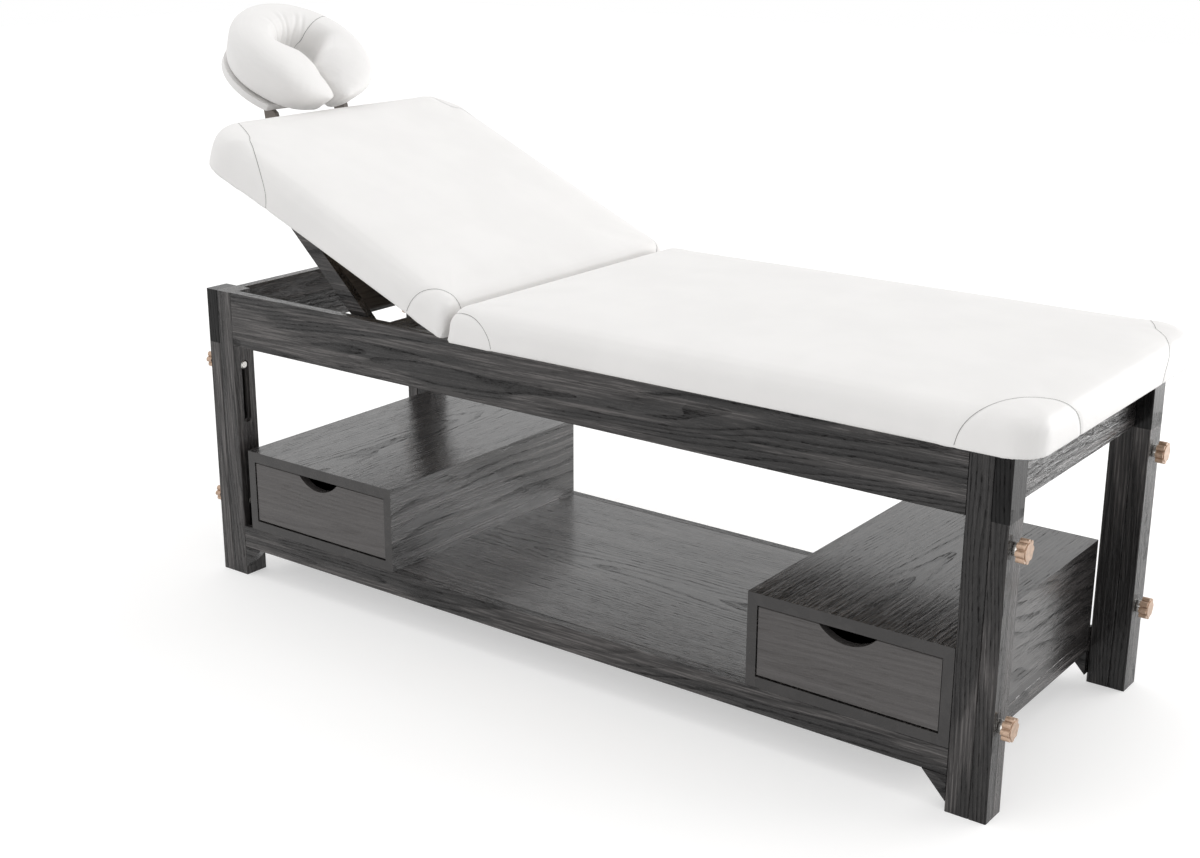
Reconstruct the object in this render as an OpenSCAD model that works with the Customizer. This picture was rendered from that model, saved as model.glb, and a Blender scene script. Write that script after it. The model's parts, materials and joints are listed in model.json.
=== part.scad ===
// Treatment bed with a storage shelf, two drawer cabinets, a lifting backrest and a face cradle.
// X runs along the bed with the head at -X, the drawers face -Y, Z is up and the floor is z = 0.

/* [Frame] */
// Length over the legs
frame_l = 1872; // [1780:4:1960]
// Width over the legs
frame_w = 680; // [640:2:720]
// Height of the fixed wooden frame, from the floor to the top of the side rails
frame_h = 651; // [630:1:680]
// Size of a leg across the bed
leg_d = 57; // [52:1:62]
// Size of an inner leg along the bed
inner_leg_w = 44; // [40:1:50]
// Size of an outer sliding leg along the bed
outer_leg_w = 32; // [28:1:38]
// Height of the upper rails
rail_h = 118; // [106:1:124]
// Thickness of the upper rails
rail_t = 24; // [20:1:28]
// Height of the lower rails
apron_h = 51; // [46:1:60]
// Thickness of the lower rails
apron_t = 22; // [18:1:26]
// Height of the lower rails' bottom edge over the floor
apron_z = 67; // [60:1:72]
// Distance of the lower shelf frame's rear edge inside the legs' rear faces
shelf_rear_in = 49; // [44:1:54]
// Thickness of the shelf board
shelf_t = 16; // [12:1:20]
// Width of the triangular gusset under a lower rail
gusset_w = 46; // [36:1:56]
// Height of the triangular gusset under a lower rail
gusset_h = 48; // [36:1:54]
// Width of a cross beam
beam_w = 62; // [50:1:74]
// Thickness of a cross beam
beam_t = 18; // [15:1:19]
// Distance from the hinge line to the middle of the beam under the backrest
beam_back = 158; // [150:1:170]
// Chamfer along the edges of the boards
ease = 1.5; // [1:0.25:2]

/* [Height setting] */
// How far the bed can be raised on its outer legs
lift_travel = 120; // [80:5:124]
// Height of the lower clamp bolts
clamp_low_z = 171; // [160:1:190]
// Distance of the upper clamp bolts below the top of the frame
clamp_high_drop = 166; // [151:1:181]
// Diameter of a clamp bolt
bolt_d = 8; // [6:0.5:10]
// Diameter of a clamp bolt's round head
bolt_head_d = 20; // [16:1:24]
// Thickness of a clamp bolt's round head
bolt_head_t = 4; // [3:0.5:5]
// Diameter of a star knob over its lobes
knob_d = 43; // [36:1:46]
// Thickness of a star knob's head
knob_t = 16; // [13:1:20]
// Number of lobes on a star knob
knob_lobes = 8; // [6:1:9]
// Diameter of the collar behind a star knob
collar_d = 22; // [18:1:26]
// Length of the collar behind a star knob
collar_l = 9; // [6:1:11]

/* [Cabinets] */
// Width of the cabinet at the foot
foot_cab_w = 400; // [360:2:430]
// Width of the cabinet at the head
head_cab_w = 427; // [380:1:440]
// Distance of the cabinets' backs inside the shelf frame's rear edge
cab_rear_in = 14; // [10:1:60]
// Height of the cabinets over the shelf
cab_h = 182; // [170:1:200]
// Thickness of a cabinet's side panels
cab_side_t = 20; // [16:1:22]
// Thickness of a cabinet's top
cab_top_t = 23; // [18:1:26]
// Thickness of a cabinet's base board
cab_base_t = 21; // [16:1:24]
// Thickness of a cabinet's back panel
cab_back_t = 8; // [5:1:12]
// Distance of the head cabinet from the inner legs at the head
head_cab_off = 26; // [16:1:40]
// Gap round a drawer front
drawer_gap = 2; // [1.5:0.5:3]
// Thickness of a drawer front
drawer_front_t = 18; // [14:1:22]
// Thickness of a drawer's sides
drawer_side_t = 14; // [12:1:16]
// Thickness of a drawer's bottom
drawer_bottom_t = 6; // [4:1:8]
// Room between a drawer and its cabinet's back panel
drawer_rear_gap = 34; // [20:1:60]
// Width of the finger notch in a drawer front
notch_w = 113; // [90:1:130]
// Depth of the finger notch in a drawer front
notch_h = 26; // [20:1:32]
// Height of a drawer runner
runner_h = 16; // [12:1:20]
// How far a drawer runner reaches into the drawer's side
runner_in = 6; // [4:0.5:8]

/* [Seat and backrest] */
// Length of the seat cushion's overhang past the legs at the foot
foot_over = 52; // [40:1:64]
// Overhang of the cushions past the legs at each side
side_over = 38; // [24:1:50]
// Length of the seat cushion, from the hinge line to the foot
seat_l = 1213; // [1180:1:1240]
// Length of the backrest cushion
back_l = 753; // [720:1:780]
// Thickness of the cushions at their edges
cushion_t = 77; // [68:1:84]
// Extra height in the middle of the cushions
crown = 7; // [4:1:12]
// Radius of the rounded upper edge
edge_r = 38; // [28:1:44]
// Corner radius at the foot and head ends
corner_r = 66; // [50:1:84]
// Corner radius at the hinge
hinge_corner_r = 14; // [10:1:30]
// How far the sides draw in between the corners
side_pull = 4; // [2:0.5:6]
// Thickness of the plywood boards in the cushions
board_t = 12; // [9:1:15]
// Distance of the plywood boards from the cushions' outline
board_in = 34; // [28:1:44]
// Angle of the backrest over flat as it stands here
back_angle = 22.7; // [12:0.1:26]
// Greatest angle of the backrest over flat
back_max = 35; // [28:0.5:36]
// Diameter of the hinge knuckles under the bed
knuckle_d = 8; // [7:0.5:10]
// Diameter of the hinge pins
hinge_pin_d = 4; // [3:0.25:5]
// Length of a backrest hinge
hinge_l = 90; // [70:2:120]
// Distance of each backrest hinge from the middle of the bed
hinge_y = 230; // [180:5:260]
// Number of knuckles on a backrest hinge
hinge_knuckles = 5; // [3:2:7]

/* [Prop] */
// Distance along the backrest from the hinge line to the prop's pivots
prop_along = 518; // [510:1:526]
// Distance of the prop's pivots below the backrest boards' underside
prop_drop = 30; // [28:1:32]
// Length of a prop arm between its pivot and the foot bar
prop_l = 361; // [354:1:367]
// Angle of the prop arms below level as they stand here
prop_angle = 44; // [42:0.5:46]
// Width of a prop arm
arm_w = 34; // [28:1:36]
// Thickness of a prop arm
arm_t = 18; // [14:1:20]
// Diameter of the pins in the prop's pivots
prop_pin_d = 10; // [8:1:12]
// Diameter of the prop's foot bar
foot_bar_d = 16; // [13:1:18]
// Width of the board across the prop arms
prop_board_w = 150; // [120:2:160]
// Thickness of the board across the prop arms
prop_board_t = 12; // [9:1:14]
// Number of notches in a rack
rack_notches = 5; // [3:1:5]
// Pitch of the notches in a rack
rack_pitch = 30; // [26:1:34]
// Depth of a notch in a rack
rack_depth = 12; // [8:1:12]
// Height of a rack's teeth over its bottom edge
rack_h = 28; // [24:1:28]
// Thickness of a rack
rack_t = 18; // [14:1:20]

/* [Headrest] */
// Distance of the middle of the face ring past the backrest's far end
ring_out = 119; // [112:1:131]
// Height of the middle of the face ring over the backrest boards' underside
ring_up = 140; // [136:1:150]
// Angle of the face ring to the backrest
ring_tilt = 12; // [6:0.5:14]
// Width of the face ring across the bed
ring_w = 326; // [300:2:332]
// Length of the face ring along the bed
ring_l = 290; // [270:2:292]
// Thickness of the face ring
ring_t = 114; // [100:1:116]
// Width of the ring's padded lobe
lobe_w = 106; // [94:1:110]
// Gap between the ring's two ends
ring_gap = 12; // [8:1:24]
// Thickness of the plate under the face ring
plate_t = 15; // [10:1:18]
// Distance of the plate's edge inside the ring's edge, along the bed
plate_in = 4; // [2:1:10]
// Diameter of the two rods that carry the headrest
rod_d = 14; // [12:1:16]
// Distance between the rods
rod_pitch = 170; // [140:2:200]
// Length of the rods
rod_l = 190; // [170:2:200]
// Wall of the sockets round the rods
socket_wall = 3.5; // [3:0.25:4]
// Length of the sockets
socket_l = 170; // [150:2:180]
// Diameter of the cross bar on the rods
cross_bar_d = 22; // [20:1:26]
// Distance of the cross bar past the backrest's far end
cross_bar_out = 37; // [33:1:47]

/* [Hidden] */

// Gap between wooden faces that slide on each other
slide_gap = 0.2;
// Radial clearance of a pin or a shaft that turns
pin_gap = 0.05;
// Clearance of a soft form, or of a fastener in its slot
soft_gap = 0.5;
// Overrun of every cut
over = 1;
$fn = 48;

// Places along the bed, before the whole bed is centred on its own length
half_w = frame_w / 2;
shelf_d = frame_w - shelf_rear_in;
leg_w = inner_leg_w + outer_leg_w;
rail_z = frame_h - rail_h;
clamp_high_z = frame_h - clamp_high_drop;
foot_in = -leg_w;
head_in = -frame_l + leg_w;
shelf_z = apron_z + apron_h;
hinge_x = foot_over - seat_l;
hinge_z = frame_h - knuckle_d / 2;
hinge_gap = 2;
board_gap = 0.5;

// The bed's whole length runs from the headrest plate's far edge to the cushion at the foot
back_z = frame_h - hinge_z + board_gap;
plate_a = ring_l / 2 - plate_in;
head_tilt = back_angle + ring_tilt;
ring_under = ring_t / 2 + plate_t + soft_gap;
ring_along = back_l + ring_out;
cross_bar_along = back_l + cross_bar_out;
ring_reach = ring_along * cos(back_angle) - (ring_up + back_z) * sin(back_angle)
    + plate_a * cos(head_tilt) + ring_under * sin(head_tilt);
centre_x = (foot_over + hinge_x - ring_reach) / 2;

cushion_w = frame_w + 2 * side_over;
lean = (back_max / 2);
board_w = cushion_w - 2 * board_in;
black = "#2a2627";
pale = "#f2f0ee";
steel = "#8a8a8c";
bronze = "#b09a82";

// Puts a shape into the bed's frame, centred along its length
module bed() {
    translate([-centre_x, 0, 0]) children();
}

// A board with eased edges along its longest direction
module eased_section(a, b) {
    polygon([
        [ease, 0], [a - ease, 0], [a, ease], [a, b - ease],
        [a - ease, b], [ease, b], [0, b - ease], [0, ease],
    ]);
}

module board_x(x0, x1, y0, y1, z0, z1) {
    translate([x0, y0, z0]) rotate([90, 0, 90]) linear_extrude(x1 - x0) eased_section(y1 - y0, z1 - z0);
}

module board_y(x0, x1, y0, y1, z0, z1) {
    translate([x0, y1, z0]) rotate([90, 0, 0]) linear_extrude(y1 - y0) eased_section(x1 - x0, z1 - z0);
}

module board_z(x0, x1, y0, y1, z0, z1) {
    translate([x0, y0, z0]) linear_extrude(z1 - z0) eased_section(x1 - x0, y1 - y0);
}

module block(x0, x1, y0, y1, z0, z1) {
    translate([x0, y0, z0]) cube([x1 - x0, y1 - y0, z1 - z0]);
}

// A shape made at the front corner of the foot end, set at any of the four corners
module at_corner(head, rear) {
    translate([head ? -frame_l : 0, 0, 0])
        scale_flip(head, rear)
            children();
}

module scale_flip(head, rear) {
    mirror([head ? 1 : 0, 0, 0]) mirror([0, rear ? 1 : 0, 0]) children();
}

// Outer sliding legs and their clamps

module outer_leg() {
    color(black) difference() {
        board_z(-outer_leg_w + slide_gap, 0, -half_w, -half_w + leg_d, 0, rail_z - slide_gap);
        for (z = [clamp_low_z, clamp_high_z])
            translate([-outer_leg_w - over, -half_w + leg_d / 2, z])
                rotate([0, 90, 0]) cylinder(d = bolt_d + 2 * pin_gap, h = outer_leg_w + 2 * over);
    }
}

// Depth of the recess that the bolt head slides in
recess_t = bolt_head_t + 2 * soft_gap;
bolt_end = collar_l + knob_t / 2;

module clamp_bolt(z) {
    translate([-leg_w + soft_gap, -half_w + leg_d / 2, z]) rotate([0, 90, 0]) {
        cylinder(d1 = bolt_head_d * 0.7, d2 = bolt_head_d, h = bolt_head_t / 2);
        translate([0, 0, bolt_head_t / 2]) cylinder(d = bolt_head_d, h = bolt_head_t / 2);
        translate([0, 0, bolt_head_t]) cylinder(d = bolt_d, h = leg_w - bolt_head_t + bolt_end);
    }
}

module clamp_bolts() {
    color(steel)
        for (head = [false, true], rear = [false, true], z = [clamp_low_z, clamp_high_z])
            at_corner(head, rear) clamp_bolt(z);
}

lobe_d = knob_d * 0.27;

module star_knob(z) {
    color(bronze) translate([soft_gap / 2, -half_w + leg_d / 2, z]) rotate([0, 90, 0]) difference() {
        union() {
            cylinder(d = collar_d, h = collar_l);
            translate([0, 0, collar_l]) cylinder(d = knob_d - lobe_d, h = knob_t);
            for (i = [0:knob_lobes - 1])
                rotate(i * 360 / knob_lobes) translate([(knob_d - lobe_d) / 2, 0, collar_l])
                    cylinder(d = lobe_d, h = knob_t - ease, $fn = 32);
        }
        translate([0, 0, -over]) cylinder(d = bolt_d + 2 * pin_gap, h = bolt_end + 2 * over);
    }
}

// Fixed legs and upper frame

module slot_cut(z, w, x0, x1) {
    translate([x0, -half_w + leg_d / 2, z]) rotate([0, 90, 0]) cylinder(d = w, h = x1 - x0);
    translate([x0, -half_w + leg_d / 2, z - lift_travel]) rotate([0, 90, 0]) cylinder(d = w, h = x1 - x0);
    block(x0, x1, -half_w + leg_d / 2 - w / 2, -half_w + leg_d / 2 + w / 2, z - lift_travel, z);
}

module inner_leg() {
    color(black) difference() {
        board_z(-leg_w, -outer_leg_w, -half_w, -half_w + leg_d, 0, frame_h);
        for (z = [clamp_low_z, clamp_high_z]) {
            slot_cut(z, bolt_d + 2 * soft_gap, -leg_w - over, -outer_leg_w + over);
            slot_cut(z, bolt_head_d + 2 * soft_gap, -leg_w - over, -leg_w + recess_t);
        }
    }
}

module corner_blocks() {
    color(black)
        for (head = [false, true], rear = [false, true])
            at_corner(head, rear) board_z(-outer_leg_w, 0, -half_w, -half_w + leg_d, rail_z, frame_h);
}

module side_rail() {
    color(black) board_x(head_in, foot_in, -half_w, -half_w + rail_t, rail_z, frame_h);
}

module end_rail() {
    color(black)
        board_y(-outer_leg_w - rail_t, -outer_leg_w, -half_w + leg_d, half_w - leg_d, rail_z, frame_h);
}

seat_beam_shares = [0.3, 0.72];

module cross_beams() {
    color(black) {
        board_y(hinge_x - beam_back - beam_w / 2, hinge_x - beam_back + beam_w / 2,
            -half_w + rail_t, half_w - rail_t, frame_h - beam_t, frame_h);
        for (s = seat_beam_shares)
            board_y(hinge_x * s - beam_w / 2, hinge_x * s + beam_w / 2,
                -half_w + rail_t, half_w - rail_t, frame_h - beam_t, frame_h);
    }
}

// Lower frame and shelf

rear_y = -half_w + shelf_d;

module front_apron() {
    color(black) board_x(head_in, foot_in, -half_w, -half_w + apron_t, apron_z, shelf_z);
}

module rear_apron() {
    color(black) board_x(head_in, foot_in, rear_y - apron_t, rear_y, apron_z, shelf_z);
}

module lower_end_rails() {
    color(black)
        for (x = [foot_in - apron_t, head_in])
            board_y(x, x + apron_t, -half_w + apron_t, rear_y - apron_t, apron_z, shelf_z - shelf_t);
}

module gusset(y) {
    translate([foot_in, y + apron_t, apron_z - gusset_h]) rotate([90, 0, 0])
        linear_extrude(apron_t) polygon([[0, 0], [0, gusset_h], [-gusset_w, gusset_h]]);
}

module apron_gussets() {
    color(black)
        for (head = [false, true], y = [-half_w, rear_y - apron_t])
            translate([head ? -frame_l : 0, 0, 0]) mirror([head ? 1 : 0, 0, 0]) gusset(y);
}

module shelf_board() {
    color(black)
        block(head_in, foot_in, -half_w + apron_t, rear_y - apron_t, shelf_z - shelf_t, shelf_z);
}

// Cabinets, made with their outer side at x = 0 and reaching to -x

cab_z = shelf_z;
cab_top_z = shelf_z + cab_h;
cab_y = -half_w;
cab_d = shelf_d - cab_rear_in;

module mitred_side(w) {
    translate([-cab_side_t, cab_y + cab_d, cab_z]) rotate([90, 0, 0]) linear_extrude(cab_d)
        polygon([[0, 0], [cab_side_t, 0], [cab_side_t, cab_h], [0, cab_h - cab_top_t]]);
}

module cabinet_sides(w) {
    color(black) {
        mitred_side(w);
        translate([-w, 0, 0]) mirror([1, 0, 0]) mitred_side(w);
    }
}

module cabinet_top(w) {
    color(black)
        translate([-w, cab_y + cab_d, cab_top_z - cab_top_t]) rotate([90, 0, 0]) linear_extrude(cab_d)
            polygon([[cab_side_t, 0], [w - cab_side_t, 0], [w, cab_top_t], [0, cab_top_t]]);
}

module cabinet_base(w) {
    color(black)
        block(-w + cab_side_t, -cab_side_t, cab_y, cab_y + cab_d, cab_z, cab_z + cab_base_t);
}

module cabinet_back(w) {
    color(black)
        block(-w + cab_side_t, -cab_side_t, cab_y + cab_d - cab_back_t, cab_y + cab_d,
            cab_z + cab_base_t, cab_top_z - cab_top_t);
}

open_z0 = cab_z + cab_base_t;
open_z1 = cab_top_z - cab_top_t;
runner_z = (open_z0 + open_z1) / 2 - runner_h / 2;
runner_y0 = cab_y + drawer_front_t + 3 * drawer_gap;
runner_y1 = cab_y + cab_d - cab_back_t;

module cabinet_runners(w) {
    color(black)
        for (x = [-w + cab_side_t, -cab_side_t - drawer_gap - runner_in])
            block(x, x + drawer_gap + runner_in, runner_y0, runner_y1, runner_z, runner_z + runner_h);
}

notch_r = (notch_w * notch_w / 4 + notch_h * notch_h) / (2 * notch_h);

module drawer_front(w) {
    color(black) difference() {
        board_x(-w + cab_side_t + drawer_gap, -cab_side_t - drawer_gap,
            cab_y + drawer_gap, cab_y + drawer_gap + drawer_front_t,
            open_z0 + drawer_gap, open_z1 - drawer_gap);
        translate([-w / 2, cab_y, open_z1 - drawer_gap - notch_h + notch_r]) rotate([-90, 0, 0])
            cylinder(r = notch_r, h = 2 * drawer_front_t, $fn = 96);
    }
}

box_y0 = cab_y + drawer_gap + drawer_front_t;
box_y1 = cab_y + cab_d - cab_back_t - drawer_rear_gap;
box_z1 = open_z1 - drawer_gap - notch_h;
groove_in = runner_in + slide_gap;

module drawer_side(x_outer, inward) {
    difference() {
        block(min(x_outer, x_outer + inward * drawer_side_t), max(x_outer, x_outer + inward * drawer_side_t),
            box_y0, box_y1, open_z0 + drawer_gap, box_z1);
        block(min(x_outer - inward * over, x_outer + inward * groove_in),
            max(x_outer - inward * over, x_outer + inward * groove_in),
            box_y0 + drawer_gap, box_y1 + over, runner_z - slide_gap, runner_z + runner_h + slide_gap);
    }
}

module drawer_box(w) {
    x0 = -w + cab_side_t + drawer_gap;
    x1 = -cab_side_t - drawer_gap;
    color("#8a7660") {
        drawer_side(x0, 1);
        drawer_side(x1, -1);
        block(x0 + drawer_side_t, x1 - drawer_side_t, box_y1 - drawer_side_t, box_y1,
            open_z0 + drawer_gap, box_z1);
        block(x0 + drawer_side_t, x1 - drawer_side_t, box_y0, box_y1 - drawer_side_t,
            open_z0 + 2 * drawer_gap, open_z0 + 2 * drawer_gap + drawer_bottom_t);
    }
}

module at_foot_cabinet() {
    translate([foot_in, 0, 0]) children();
}

module at_head_cabinet() {
    translate([head_in + head_cab_off + head_cab_w, 0, 0]) children();
}

// Cushions

corner_steps = 6;
side_steps = 5;

// A rounded outline from x0 to x1, with a corner radius at each end and sides that draw in
function outline(x0, x1, half, r0, r1, pull) = concat(
    [for (i = [0:corner_steps]) let (a = 90 * i / corner_steps)
        [x1 - r1 + r1 * cos(a), half - r1 + r1 * sin(a)]],
    [for (i = [1:side_steps - 1]) let (s = i / side_steps)
        [x1 - r1 + (x0 + r0 - x1 + r1) * s, half - pull * sin(180 * s)]],
    [for (i = [0:corner_steps]) let (a = 90 + 90 * i / corner_steps)
        [x0 + r0 + r0 * cos(a), half - r0 + r0 * sin(a)]],
    [for (i = [1:side_steps - 1]) let (s = i / side_steps)
        [x0, (half - r0) * (1 - 2 * s)]],
    [for (i = [0:corner_steps]) let (a = 180 + 90 * i / corner_steps)
        [x0 + r0 + r0 * cos(a), -half + r0 + r0 * sin(a)]],
    [for (i = [1:side_steps - 1]) let (s = i / side_steps)
        [x0 + r0 + (x1 - r1 - x0 - r0) * s, -half + pull * sin(180 * s)]],
    [for (i = [0:corner_steps]) let (a = 270 + 90 * i / corner_steps)
        [x1 - r1 + r1 * cos(a), -half + r1 + r1 * sin(a)]],
    [for (i = [1:side_steps - 1]) let (s = i / side_steps)
        [x1 - pull * sin(180 * s), (half - r1) * (2 * s - 1)]]
);

// Levels of a cushion as [inset, height]: a tucked rim, a full side, a round edge and a crown
tuck_shares = [[0.1, 0], [0.02, 0.06], [0, 0.3], [0.02, 0.5]];
crown_shares = [[0.25, 0.5], [0.5, 0.82], [0.85, 1]];
edge_steps = 5;
function levels(half) = concat(
    [for (s = tuck_shares) [s[0] * edge_r, s[1] * cushion_t]],
    [for (i = [1:edge_steps]) let (a = 90 * i / edge_steps - 4 * (edge_steps - i) / edge_steps)
        [edge_r * (1 - cos(a)) + 0.02 * edge_r * (1 - i / edge_steps), cushion_t - edge_r + edge_r * sin(a)]],
    [for (s = crown_shares) [edge_r + s[0] * (half - edge_r), cushion_t + s[1] * crown]]
);

// A crowned cushion whose hinge end, at x = 0, leans back from the hinge line; it reaches to +x
module crowned_cushion(l, half) {
    lv = levels(half);
    rings = [for (p = lv)
        let (ins = p[0])
        let (x0 = hinge_gap + p[1] * tan(lean) + (p[0] > edge_r ? p[0] - edge_r : 0) + 0.3 * min(ins, edge_r))
        let (f = max(1 - ins / half, 0.15))
        [for (q = outline(x0, l - ins, half - ins,
            max(hinge_corner_r * f, over), max((corner_r - min(ins, edge_r) * 0.5) * f, over), side_pull * f))
            [q[0], q[1], p[1]]]];
    n = len(rings[0]);
    m = len(rings);
    points = concat([for (r = rings) each r],
        [[l / 2, 0, lv[0][1]], [l / 2, 0, lv[m - 1][1]]]);
    sides = [for (j = [0:m - 2], i = [0:n - 1]) let (k = (i + 1) % n)
        each [[j * n + i, (j + 1) * n + i, (j + 1) * n + k], [j * n + i, (j + 1) * n + k, j * n + k]]];
    bottom = [for (i = [0:n - 1]) [m * n, i, (i + 1) % n]];
    top = [for (i = [0:n - 1]) [m * n + 1, (m - 1) * n + (i + 1) % n, (m - 1) * n + i]];
    polyhedron(points, concat(sides, bottom, top));
}

module seat_board() {
    color("#7a6248")
        block(hinge_x + board_in, foot_over - board_in, -board_w / 2, board_w / 2, frame_h, frame_h + board_t);
}

module seat_cushion() {
    color(pale) difference() {
        translate([hinge_x, 0, frame_h]) crowned_cushion(foot_over - hinge_x, cushion_w / 2);
        block(hinge_x + board_in, foot_over - board_in, -board_w / 2, board_w / 2,
            frame_h - over, frame_h + board_t);
    }
}

// The backrest's pieces are made lying flat, with the hinge line at the origin and the head at -x
module on_back() {
    translate([hinge_x, 0, hinge_z]) rotate([0, back_angle, 0]) children();
}

module back_board() {
    color("#7a6248") on_back()
        block(-back_l + board_in, -board_in, -board_w / 2, board_w / 2, back_z, back_z + board_t);
}

rod_z = back_z + board_t + rod_d / 2 + socket_wall;
socket_end = -back_l + board_in;

module back_cushion() {
    color(pale) on_back() difference() {
        translate([0, 0, back_z]) mirror([1, 0, 0]) crowned_cushion(back_l, cushion_w / 2);
        block(-back_l + board_in, -board_in, -board_w / 2, board_w / 2, back_z - over, back_z + board_t);
        for (y = [-rod_pitch / 2, rod_pitch / 2])
            translate([-back_l - over, y, rod_z]) rotate([0, 90, 0])
                cylinder(d = rod_d + 2 * socket_wall, h = board_in + socket_l + over);
    }
}

// Backrest hinges: leaves under the boards, knuckles on the hinge line

leaf_t = 2;
leaf_w = 34;
knuckle_l = hinge_l / hinge_knuckles;

module knuckles(parity) {
    for (i = [0:hinge_knuckles - 1])
        if (i % 2 == parity)
            translate([0, -hinge_l / 2 + i * knuckle_l + (i > 0 ? slide_gap : 0), 0]) rotate([-90, 0, 0])
                cylinder(d = knuckle_d, h = knuckle_l - (i > 0 ? slide_gap : 0) - (i < hinge_knuckles - 1 ? slide_gap : 0));
}

module hinge_half(side, parity, z_top) {
    difference() {
        union() {
            knuckles(parity);
            for (i = [0:hinge_knuckles - 1])
                if (i % 2 == parity)
                    translate([side > 0 ? 0 : -knuckle_d, -hinge_l / 2 + i * knuckle_l + slide_gap, z_top - leaf_t])
                        cube([knuckle_d, knuckle_l - 2 * slide_gap, leaf_t]);
            translate([side > 0 ? knuckle_d * 0.75 : -leaf_w, -hinge_l / 2, z_top - leaf_t])
                cube([leaf_w - knuckle_d * 0.75, hinge_l, leaf_t]);
        }
        translate([0, -hinge_l / 2 - over, 0]) rotate([-90, 0, 0])
            cylinder(d = hinge_pin_d + 2 * pin_gap, h = hinge_l + 2 * over);
    }
}

module hinge_pin() {
    translate([0, -hinge_l / 2, 0]) rotate([-90, 0, 0]) cylinder(d = hinge_pin_d, h = hinge_l);
}

module seat_hinge_leaves() {
    color(steel)
        for (y = [-hinge_y, hinge_y])
            translate([hinge_x, y, hinge_z]) {
                hinge_half(1, 0, frame_h - hinge_z);
                hinge_pin();
            }
}

module back_hinge_leaves() {
    color(steel) on_back()
        for (y = [-hinge_y, hinge_y])
            translate([0, y, 0]) hinge_half(-1, 1, back_z);
}

// Prop frame

arm_y = half_w - rail_t - rack_t - arm_t - 4 * drawer_gap;
bracket_t = 5;
bracket_w = 46;
bracket_y = arm_y - bracket_t - slide_gap;
prop_z = back_z - prop_drop;

module prop_brackets() {
    color(steel) on_back()
        for (s = [-1, 1]) {
            difference() {
                union() {
                    translate([-prop_along, s > 0 ? bracket_y : -bracket_y - bracket_t, 0])
                        rotate([-90, 0, 0]) translate([0, -prop_z, 0]) cylinder(d = bracket_w / 2, h = bracket_t);
                    block(-prop_along - bracket_w / 4, -prop_along + bracket_w / 4,
                        s > 0 ? bracket_y : -bracket_y - bracket_t,
                        s > 0 ? bracket_y + bracket_t : -bracket_y, prop_z, back_z);
                }
            }
            block(-prop_along - bracket_w / 2, -prop_along + bracket_w / 2,
                s > 0 ? bracket_y - bracket_w / 2 : -bracket_y, s > 0 ? bracket_y : -bracket_y + bracket_w / 2,
                back_z - bracket_t, back_z);
            translate([-prop_along, s > 0 ? bracket_y : -bracket_y, prop_z]) rotate([s > 0 ? -90 : 90, 0, 0])
                cylinder(d = prop_pin_d, h = bracket_t + slide_gap + arm_t + bracket_t);
        }
}

// The prop's pieces are made with the pivots at the origin and the arms along +x
module on_prop() {
    on_back() translate([-prop_along, 0, prop_z]) rotate([0, prop_angle - back_angle, 0]) children();
}

module prop_arms() {
    color(black) on_prop()
        for (s = [-1, 1])
            translate([0, s > 0 ? arm_y : -arm_y - arm_t, 0]) difference() {
                union() {
                    rotate([-90, 0, 0]) cylinder(d = arm_w, h = arm_t);
                    block(0, prop_l, 0, arm_t, -arm_w / 2, arm_w / 2);
                    translate([prop_l, 0, 0]) rotate([-90, 0, 0]) cylinder(d = arm_w * 0.99, h = arm_t);
                }
                translate([0, -over, 0]) rotate([-90, 0, 0])
                    cylinder(d = prop_pin_d + 2 * pin_gap, h = arm_t + 2 * over);
                translate([prop_l, -over, 0]) rotate([-90, 0, 0])
                    cylinder(d = foot_bar_d, h = arm_t + 2 * over);
            }
}

prop_board_end_share = 0.731;

module prop_board() {
    color("#4a4748") on_prop()
        board_y(prop_l * prop_board_end_share - prop_board_w, prop_l * prop_board_end_share,
            -arm_y, arm_y, arm_w / 2 - prop_board_t, arm_w / 2);
}

bar_reach = half_w - rail_t - drawer_gap;

module prop_foot_bar() {
    color(steel) on_prop()
        translate([prop_l, -bar_reach, 0]) rotate([-90, 0, 0]) cylinder(d = foot_bar_d, h = 2 * bar_reach);
}

// The racks stand on the rails' inner faces, with a notch under the foot bar where it stands here
foot_x = hinge_x - prop_along * cos(back_angle) + prop_z * sin(back_angle) + prop_l * cos(prop_angle);
foot_z = hinge_z + prop_along * sin(back_angle) + prop_z * cos(back_angle) - prop_l * sin(prop_angle);
rack_top = foot_z - foot_bar_d / 2 - soft_gap;
rack_l = (rack_notches + 1) * rack_pitch;
rack_mid = (rack_notches - 1) / 2;

module rack() {
    translate([foot_x - rack_mid * rack_pitch - rack_pitch, 0, rack_top - rack_h]) rotate([90, 0, 0])
        linear_extrude(rack_t) difference() {
            square([rack_l, rack_h]);
            for (i = [0:rack_notches - 1])
                translate([(i + 1) * rack_pitch, rack_h])
                    polygon([
                        [foot_bar_d * 0.6, over], [foot_bar_d * 0.6, -rack_depth],
                        [-foot_bar_d * 0.5, -rack_depth], [-foot_bar_d, 0], [-foot_bar_d, over],
                    ]);
        }
}

module prop_racks() {
    color(black) {
        translate([0, -half_w + rail_t + rack_t, 0]) rack();
        translate([0, half_w - rail_t, 0]) rack();
    }
}

// Headrest: sockets in the backrest, rods with a cross bar, and the tilting plate with its ring

module headrest_sockets() {
    color(steel) on_back()
        for (y = [-rod_pitch / 2, rod_pitch / 2])
            translate([socket_end, y, rod_z]) rotate([0, 90, 0]) difference() {
                cylinder(d = rod_d + 2 * socket_wall, h = socket_l);
                translate([0, 0, -over]) cylinder(d = rod_d + 2 * pin_gap, h = socket_l + 2 * over);
            }
}

module headrest_rods() {
    color(steel) on_back()
        for (y = [-rod_pitch / 2, rod_pitch / 2])
            translate([-cross_bar_along, y, rod_z]) rotate([0, 90, 0]) cylinder(d = rod_d, h = rod_l);
}

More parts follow.
